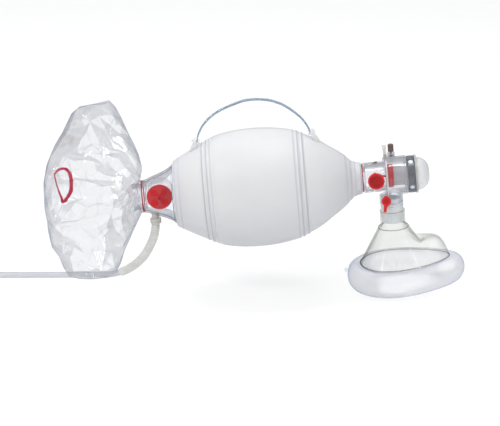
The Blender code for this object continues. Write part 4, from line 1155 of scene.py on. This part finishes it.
# The collar, down to the shoulder: radius, z.
COLLAR = ((12.95, -37.2), (13.15, -37.6), (12.95, -38.0), (12.95, -50.0), (12.95, -53.0),
          (13.3, -53.7), (14.2, -54.0), (15.2, -54.2), (15.8, -54.7), (16.0, -55.3))
# The nose ridge at the +X end, at even steps from shoulder to foot: share of the way out, z.
NOSE = [(0.0, SHOULDER_Z), (0.29, -73.0), (0.37, -70.8), (0.52, -70.0), (0.72, -71.2),
        (0.86, -77.0), (0.95, -85.0), (1.0, RIM_Z)]


def rim(turn, grow=0.0):
    """A point of the foot's outline, moved outward by grow."""
    x = RIM_X + RIM_LENGTH * math.cos(turn)
    y = RIM_WIDTH * math.sin(turn) * (1 - RIM_TAPER * math.cos(turn))
    if grow:
        step = 1e-3
        x0, y0 = rim(turn - step)
        x1, y1 = rim(turn + step)
        length = math.hypot(x1 - x0, y1 - y0)
        x += (y1 - y0) / length * grow
        y -= (x1 - x0) / length * grow
    return x, y


def mask_shell():
    turns = [2 * math.pi * j / 160 for j in range(160)]
    nose_out = [(i / 7, out) for i, (out, _) in enumerate(NOSE)]
    nose_z = [(i / 7, z) for i, (_, z) in enumerate(NOSE)]
    rings = [[(r * math.cos(turn), r * math.sin(turn), z) for turn in turns] for r, z in COLLAR]
    count = 64
    for i in range(count + 1):
        down = i / count
        share, height = spline(nose_out, down), spline(nose_z, down)
        ring = []
        for turn in turns:
            off = abs((turn + math.pi) % (2 * math.pi) - math.pi)
            nose = 1 - smooth((off - math.radians(22)) / math.radians(38))
            out = mix(down, share, nose)
            z = mix(mix(SHOULDER_Z, RIM_Z, down), height, nose)
            x, y = rim(turn)
            ring.append((mix(15.9 * math.cos(turn), x, out), mix(15.9 * math.sin(turn), y, out),
                         z))
        rings.append(ring)
    shell = skin("mask_shell_clear", rings, MASK, angle=60)
    # the shell's outer skin faces out, so the wall grows inward
    thicken(shell, 1.3, -1, angle=45)
    finish(shell, "mask", MASK_CLEAR, "mask_shell")


def mask_beads():
    """The rolled edge round the shell's foot, the ring on its shoulder and the collar's lip."""
    rings = []
    for j in range(200):
        turn = 2 * math.pi * j / 200
        thick = (0.62 + 0.28 * smooth((-math.cos(turn) - 0.1) / 0.9)
                 + 0.12 * smooth(-math.sin(turn)))
        ring = []
        for k in range(16):
            around = 2 * math.pi * k / 16
            x, y = rim(turn, 0.15 + thick * math.cos(around))
            ring.append((x, y, -93.15 + 0.8 * thick * math.sin(around)))
        rings.append(ring)
    finish(skin("mask_rim_bead", rings, MASK, angle=80, closed=True), "mask", BEAD)
    for name, radius, z, thick, look in (("shoulder_bead", 15.75, -55.3, 0.42, BEAD),
                                         ("collar_lip", 12.6, -37.3, 0.36, AMBER)):
        turns = [2 * math.pi * k / 14 for k in range(14)]
        profile = [(z + thick * math.sin(turn), radius + thick * math.cos(turn))
                   for turn in turns]
        turned_piece(name, profile, "mask", look, axis=TO_Z, steps=120, matrix=MASK, corner=0,
                     angle=80)


# The cushion's section: how far outside the foot's outline, z.
CUSHION_SECTION = [
    (2.4, -95.0), (3.2, -93.5), (6.4, -93.4), (10.4, -95.2), (13.6, -99.2), (15.0, -105.0),
    (14.2, -111.2), (11.0, -116.8), (5.6, -120.2), (-0.6, -120.9), (-6.6, -118.9),
    (-11.2, -113.7), (-12.8, -107.5), (-11.6, -101.6), (-8.0, -97.8), (-2.6, -95.6)]


def cushion_ring(turn, section):
    """One section, with soft unevenness below and fine pleats on its inner side."""
    ring = []
    for p in section:
        grow, z = p.x, p.y
        spot = Vector((*rim(turn, grow), z))
        pleat = (0.28 * math.sin(46 * turn + 2.0 * math.sin(5 * turn))
                 * smooth((4 - grow) / 14) * smooth((-z - 98) / 8))
        soft = 0.9 * noise.noise(spot * 0.045) + 0.35 * noise.noise(spot * 0.12)
        top = smooth((z + 98) / 8)
        swell = soft * (1 - top) + pleat
        x, y = rim(turn, grow + swell * (1 if grow > 0 else -1) * 0.7)
        ring.append((x, y, z + 0.3 * soft * (1 - top)))
    return ring


def cushion():
    loop = [(grow, z, 0) for grow, z in CUSHION_SECTION + CUSHION_SECTION[:1]]
    section = catmull(loop, 73)[:-1]
    rings = [cushion_ring(2 * math.pi * j / 180, section) for j in range(180)]
    mesh = grid_mesh("mask_cushion_soft", rings, closed=True)
    mesh.transform(MASK)
    # it rests on the floor, flattened where it touches
    for v in mesh.vertices:
        z = v.co.z
        if z < 0.0012:
            v.co.z = 0.0001 + 0.0011 * math.exp((z - 0.0012) / 0.0011)
    finish(link("mask_cushion_soft", mesh, angle=70), "mask", CUSHION, "mask_cushion")
    turned_piece("inflation_nub", [(51.2, 0), (51.2, 1.5), (53.2, 1.5), (53.2, 2.1), (54.2, 2.1),
                                   (54.6, 1.6), (54.6, 0)],
                 "mask", CUSHION, "cushion_inflation_plug", axis=TO_LEFT, at=(0, 0, -97.0),
                 steps=40, matrix=MASK, corner=0.25)


mask_shell()
mask_beads()
cushion()

# ------------------------------------------------------------------ reservoir bag, a cloth
# The flat outline of the pouch, (x, z), from the neck over the top and round to the neck again.
POUCH = [
    (-255.4, 30.0), (-257.9, 46.3), (-263.3, 61.9), (-268.4, 77.2), (-275.5, 96.7),
    (-279.0, 103.2), (-281.4, 105.9), (-287.6, 105.1), (-294.6, 103.4), (-303.7, 103.2),
    (-312.9, 101.6), (-320.1, 98.3), (-329.4, 84.2), (-339.5, 67.7), (-348.8, 54.3),
    (-354.9, 40.5), (-359.4, 24.9), (-361.2, 11.8), (-361.5, -4.2), (-360.7, -21.6),
    (-359.5, -41.1), (-355.1, -52.8), (-350.6, -64.0), (-347.6, -76.4), (-339.3, -82.7),
    (-319.5, -85.6), (-303.5, -85.0), (-294.5, -80.9), (-288.7, -71.5), (-282.4, -57.7),
    (-272.7, -39.0), (-265.9, -27.5), (-259.6, -17.2)]
MOUTH_R, MOUTH_X = 14.9, -261.3
POUCH_HALF = 34.0       # half thickness at the fullest place
NECK_CLEARANCE = 17.6
INSIDE, SEAM, MOUTH = 0, 1, 2


def contains(loop, x, z):
    hit = False
    for (x0, z0), (x1, z1) in zip(loop, loop[1:] + loop[:1]):
        if (z0 > z) != (z1 > z) and x < (x1 - x0) * (z - z0) / (z1 - z0) + x0:
            hit = not hit
    return hit


def scattered(loop, step):
    """Points inside the loop in jittered, staggered rows."""
    edge = np.array(loop)
    xs, zs = zip(*loop)
    inside, row = [], 0
    z = min(zs) + step / 2
    while z < max(zs):
        x = min(xs) + (step / 2 if row % 2 else 0)
        while x < max(xs):
            px = x + 0.35 * step * (noise.random() - 0.5)
            pz = z + 0.35 * step * (noise.random() - 0.5)
            if contains(loop, px, pz) and (
                    np.min((edge[:, 0] - px) ** 2 + (edge[:, 1] - pz) ** 2) > (0.62 * step) ** 2):
                inside.append((px, pz))
            x += step
        z += step * 0.866
        row += 1
    return inside


def puffed(flat, kind, faces):
    """Half thickness at each point. Its square comes from a soap-film equation with the
    mouth's circle as its edge."""
    pairs = {(min(a, b), max(a, b)) for f in faces for a, b in zip(f, f[1:] + f[:1])}
    one, two = np.array(sorted(pairs)).T
    count = len(flat)
    weight = 1.0 / np.maximum(np.linalg.norm(flat[one] - flat[two], axis=1), 0.2)
    square = np.zeros(count)
    free, mouth = kind == INSIDE, kind == MOUTH
    square[mouth] = np.maximum(MOUTH_R ** 2 - flat[mouth, 1] ** 2, 0)
    total = np.bincount(one, weight, count) + np.bincount(two, weight, count)
    for _ in range(2600):
        near = (np.bincount(one, weight * square[two], count)
                + np.bincount(two, weight * square[one], count))
        square[free] = ((near + 3.2) / total)[free]
    half = np.sqrt(np.maximum(square, 0))
    # bring the middle to the wanted half thickness but keep the mouth
    away = np.clip((MOUTH_X - flat[:, 0]) / 22.0, 0, 1)
    gain = 1 + (POUCH_HALF / half[free].max() - 1) * away * away * (3 - 2 * away)
    return half * np.where(mouth, 1.0, gain)


def pouch_sheet(step):
    """One flat sheet, seamed along the outline and open at the neck, and its puff."""
    line, _ = even(catmull(upright(POUCH), 700), 200)
    edge = [(p.x, p.z) for p in line]
    loop = edge + [(MOUTH_X, -MOUTH_R * math.cos(math.pi * (i / 13))) for i in range(14)]
    total = len(loop)
    lines = [(i, (i + 1) % total) for i in range(total)]
    verts, _, faces, origin, _, _ = delaunay_2d_cdt(
        [Vector(p) for p in loop + scattered(loop, step)], lines, [], 1, 1e-4)
    flat = np.array([tuple(v) for v in verts])
    kind = np.zeros(len(flat), int)
    for i, sources in enumerate(origin):
        if sources:
            k = min(sources)
            kind[i] = SEAM if k < len(edge) else (MOUTH if k < total else INSIDE)
    return flat, puffed(flat, kind, faces), kind, faces


def crumple(x, z, side):
    """How far a point starts off the smooth shape: pleats from the neck, and straight folds
    lying every way."""
    dx, dz = x + 258.0, z - 2.0
    r, turn = math.hypot(dx, dz), math.atan2(dz, -dx)
    pleat = abs(math.sin(7.0 * turn + side * 1.3 + 0.8 * math.sin(3 * turn))) - 0.5
    near = smooth((r - 4) / 12) * (1 - smooth((r - 70) / 70))
    folds = 0.0
    for k in range(26):
        mid_x = -308 + 42 * math.sin(12.9 * k + 1.7 * side)
        mid_z = 10 + 82 * math.sin(7.3 * k + 2.1 * side + 0.4)
        lie = 2.4 * k + 0.9 * side + 0.5 * math.sin(5.0 * k)
        off = (x - mid_x) * math.cos(lie) + (z - mid_z) * math.sin(lie)
        along = (z - mid_z) * math.cos(lie) - (x - mid_x) * math.sin(lie)
        wide, long = 9 + 4 * (k % 4), 26 + 12 * (k % 3)
        ridge = max(0.0, 1 - abs(off) / wide) * max(0.0, 1 - (along / long) ** 2)
        folds += (2.6 if k % 3 else -2.8) * ridge
    folds += 0.8 * (0.5 - 2 * abs(noise.noise(Vector((x * 0.05, z * 0.05, 7.0 * side)))))
    return 2.8 * pleat * near + folds * smooth((r - 8) / 20)


def pouch_mesh(flat, half, kind, faces):
    """Two crumpled sheets, front and back, that share the seam."""
    verts, index = [], {}
    for side in (-1, 1):
        for i, (x, z) in enumerate(flat):
            if kind[i] == SEAM and side == 1:
                index[1, i] = index[-1, i]
                continue
            offset = crumple(x, z, side) * smooth(half[i] / 14) if kind[i] == INSIDE else 0
            index[side, i] = len(verts)
            verts.append((x * MM, side * (half[i] + offset) * MM, z * MM))
    both = []
    for f in faces:
        both.append(tuple(index[-1, i] for i in f))
        both.append(tuple(index[1, i] for i in f[::-1]))
    return clean_mesh("reservoir_film", verts, both, merge=1e-6)


def pin_edges(obj, seam):
    """Holds the seam and the mouth, and lightly what lies next to them."""
    pins = obj.vertex_groups.new(name="pin")
    obj.vertex_groups.new(name="grow")      # stays empty
    for v in obj.data.vertices:
        x, _, z = (c / MM for c in v.co)
        gap = float(np.sqrt(np.min((seam[:, 0] - x) ** 2 + (seam[:, 1] - z) ** 2)))
        if gap < 0.05:
            pins.add([v.index], 1.0, "REPLACE")
        elif gap < 2.5:
            pins.add([v.index], 0.15, "REPLACE")


def settle(obj):
    """Blows the film up as a cloth under pressure, without gravity."""
    cloth = obj.modifiers.new("cloth", "CLOTH")
    film = cloth.settings
    film.quality = 6
    film.mass = 0.02
    film.air_damping = 3.0
    film.tension_stiffness = film.compression_stiffness = 12
    film.shear_stiffness = 6
    film.bending_stiffness = 0.25
    film.tension_damping = film.compression_damping = film.shear_damping = 8
    film.shrink_min = -0.035
    film.vertex_group_mass = "pin"
    film.pin_stiffness = 5
    film.use_pressure = True
    film.uniform_pressure_force = 0.25
    film.effector_weights.gravity = 0.0
    cloth.collision_settings.use_collision = False
    last = 34
    scene = bpy.context.scene
    for span in (scene, cloth.point_cache):
        span.frame_start, span.frame_end = 1, last
    for frame in range(1, last + 1):
        scene.frame_set(frame)
    bake(obj, angle=180)
    scene.frame_set(1)


def reservoir():
    noise.seed_set(11)
    flat, half, kind, faces = pouch_sheet(2.5)
    film = add_object("reservoir_film", pouch_mesh(flat, half, kind, faces))
    pin_edges(film, flat[kind != INSIDE])
    settle(film)
    # keep clear of the neck ring
    for v in film.data.vertices:
        x, y, z = (c / MM for c in v.co)
        r = math.hypot(y, z)
        if x > -261.2 and 0.01 < r < NECK_CLEARANCE:
            v.co.y, v.co.z = y / r * NECK_CLEARANCE * MM, z / r * NECK_CLEARANCE * MM
    # film keeps straight creases with flat panes between them
    panes = film.modifiers.new("panes", "DECIMATE")
    panes.ratio = 0.08
    film.data.transform(BAG)
    bake(film, angle=9)
    finish(film, "reservoir", FILM, "reservoir_bag")
    return film


# The printed loop's centre line, (x, z).
MARK_LINE = [(-345.0, 31.2), (-340.4, 35.6), (-334.0, 36.4), (-329.6, 32.0), (-328.0, 25.0),
             (-328.2, 18.4), (-329.4, 11.8), (-333.6, 5.4), (-338.8, 0.6), (-340.2, 6.0),
             (-342.2, 13.4), (-344.2, 22.6)]


def loop_mark(film):
    """A plain printed oval loop on the pouch's front, following its creases."""
    tree = BVHTree.FromObject(film, bpy.context.evaluated_depsgraph_get())
    path, _ = even(catmull(upright(MARK_LINE + MARK_LINE[:1]), 300), 150)
    path = path[:-1]
    n, across = len(path), 5
    verts, faces = [], []
    for i, p in enumerate(path):
        ahead = (path[(i + 1) % n] - path[i - 1]).normalized()
        side = Vector((ahead.z, 0, -ahead.x))
        wide = (mix(0.6, 1.9, smooth((0.5 - abs(i / n - 0.40)) / 0.40))
                * (1 + 0.35 * noise.noise(Vector((i * 0.21, 3, 1)))))
        for k in range(across):
            s = (k / (across - 1) - 0.5) * 2
            q = p + side * (s * wide + 0.3 * noise.noise(Vector((i * 0.45, k * 2.0, 9))))
            at = BAG @ (Vector((q.x, 0, q.z)) * MM)
            hit = tree.ray_cast(at + TO_CAMERA * 0.12, -TO_CAMERA)[0]
            if hit is None:
                hit = at
            verts.append(hit + TO_CAMERA * 0.00030)
    for i in range(n):
        for k in range(across - 1):
            a, b = i * across + k, ((i + 1) % n) * across + k
            faces.append((a, b, b + 1, a + 1))
    mesh = bpy.data.meshes.new("printed_loop")
    mesh.from_pydata(verts, [], faces)
    mark = link("printed_loop", mesh, angle=180)
    thicken(mark, 0.12, 0, angle=180)
    finish(mark, "reservoir", PRINT)


loop_mark(reservoir())


# ------------------------------------------------------------------ studio
def render_settings(scene):
    scene.view_settings.view_transform = "Standard"
    scene.view_settings.look = "None"
    scene.cycles.transparent_max_bounces = 48
    scene.cycles.max_bounces = 16
    scene.cycles.glossy_bounces = 6
    scene.cycles.transmission_bounces = 12


def studio_world(scene):
    """White to the camera; a soft gradient for light and a dimmer one for reflections."""
    world = bpy.data.worlds.new("studio")
    scene.world = world
    world.use_nodes = True
    net = Nodes(world.node_tree)
    ray = net.add("LightPath").outputs
    seen = net.add("Background", {"Color": (1, 1, 1), "Strength": 1.02})
    way = net.add("SeparateXYZ", {0: net.add("TexCoord").outputs["Generated"]}).outputs
    up = net.ramp(way["Z"], (-0.4, 0.9), to=(0.62, 1.05))
    side = net.ramp(way["X"], (-0.9, 0.9), to=(1.08, 0.82))
    lit = net.add("Background", {"Color": (0.97, 0.98, 1.0),
                                 "Strength": net.times(net.times(up, side), 0.80)})
    mirror = net.add("Background", {"Color": (0.95, 0.97, 1.0), "Strength": net.times(up, 0.42)})
    unseen = net.mix_shader(ray["Is Glossy Ray"], lit, mirror)
    net.add("OutputWorld", {"Surface": net.mix_shader(ray["Is Camera Ray"], unseen, seen)})


def studio_floor():
    """A bright white floor that looks grey in reflections."""
    bm = bmesh.new()
    bmesh.ops.create_grid(bm, x_segments=1, y_segments=1, size=4.0)
    floor = add_object("floor", bmesh_to_mesh("floor", bm))
    white, net = material("floor_white")
    tone = net.mix_colour(net.noise(scale=40.0), (0.39, 0.39, 0.39), (0.41, 0.41, 0.41))
    matte = net.add("BsdfDiffuse", {"Color": tone})
    glow = net.add("Emission", {"Color": (1, 1, 1), "Strength": 0.56})
    bright = net.add("AddShader", {0: matte, 1: glow})
    grey = net.add("BsdfDiffuse", {"Color": (0.45, 0.46, 0.48)})
    glossy_ray = net.add("LightPath").outputs["Is Glossy Ray"]
    net.surface(net.mix_shader(glossy_ray, bright, grey))
    floor.data.materials.append(white)


def area(name, at, aim, size, power, colour=(1, 1, 1), glints=False):
    """An area light, seen only in reflections if glints, else only in diffuse light."""
    data = bpy.data.lights.new(name, "AREA")
    data.shape, data.size, data.size_y = "RECTANGLE", size[0], size[1]
    data.energy, data.color, data.spread = power, colour, math.pi
    obj = add_object(name, data)
    obj.location = at
    obj.rotation_euler = (Vector(aim) - Vector(at)).to_track_quat("-Z", "Y").to_euler()
    obj.visible_glossy, obj.visible_diffuse = glints, not glints


def studio_lights():
    area("key", at=(-0.9, -1.1, 1.5), aim=(-0.02, 0, 0.1), size=(0.9, 0.6), power=16,
         colour=(1, 0.99, 0.98))
    area("fill", at=(1.2, -1.3, 0.8), aim=(0.05, 0, 0.08), size=(0.7, 0.9), power=7,
         colour=(0.97, 0.985, 1))
    area("top", at=(0.0, 0.5, 1.6), aim=(0, 0, 0.1), size=(1.4, 0.7), power=12)
    area("glint_left", at=(-1.0, -0.9, 1.1), aim=(-0.1, 0, 0.1), size=(0.10, 0.9), power=5,
         glints=True)
    area("glint_top", at=(0.1, -0.3, 1.7), aim=(0, 0, 0.1), size=(0.9, 0.10), power=5,
         glints=True)
    area("glint_right", at=(1.3, -0.8, 0.9), aim=(0.1, 0, 0.1), size=(0.08, 0.8), power=3,
         glints=True)


def studio_camera(scene):
    lens = bpy.data.cameras.new("camera")
    lens.sensor_width, lens.lens = 36.0, 172.2
    lens.clip_start, lens.clip_end = 0.05, 20
    camera = add_object("camera", lens)
    aim, distance = Vector((0.0475, 0, 0.0813)), 2.5
    camera.location = aim + TO_CAMERA * distance
    camera.rotation_euler = (-TO_CAMERA).to_track_quat("-Z", "Y").to_euler()
    scene.camera = camera


render_settings(bpy.context.scene)
studio_world(bpy.context.scene)
studio_floor()
studio_lights()
studio_camera(bpy.context.scene)
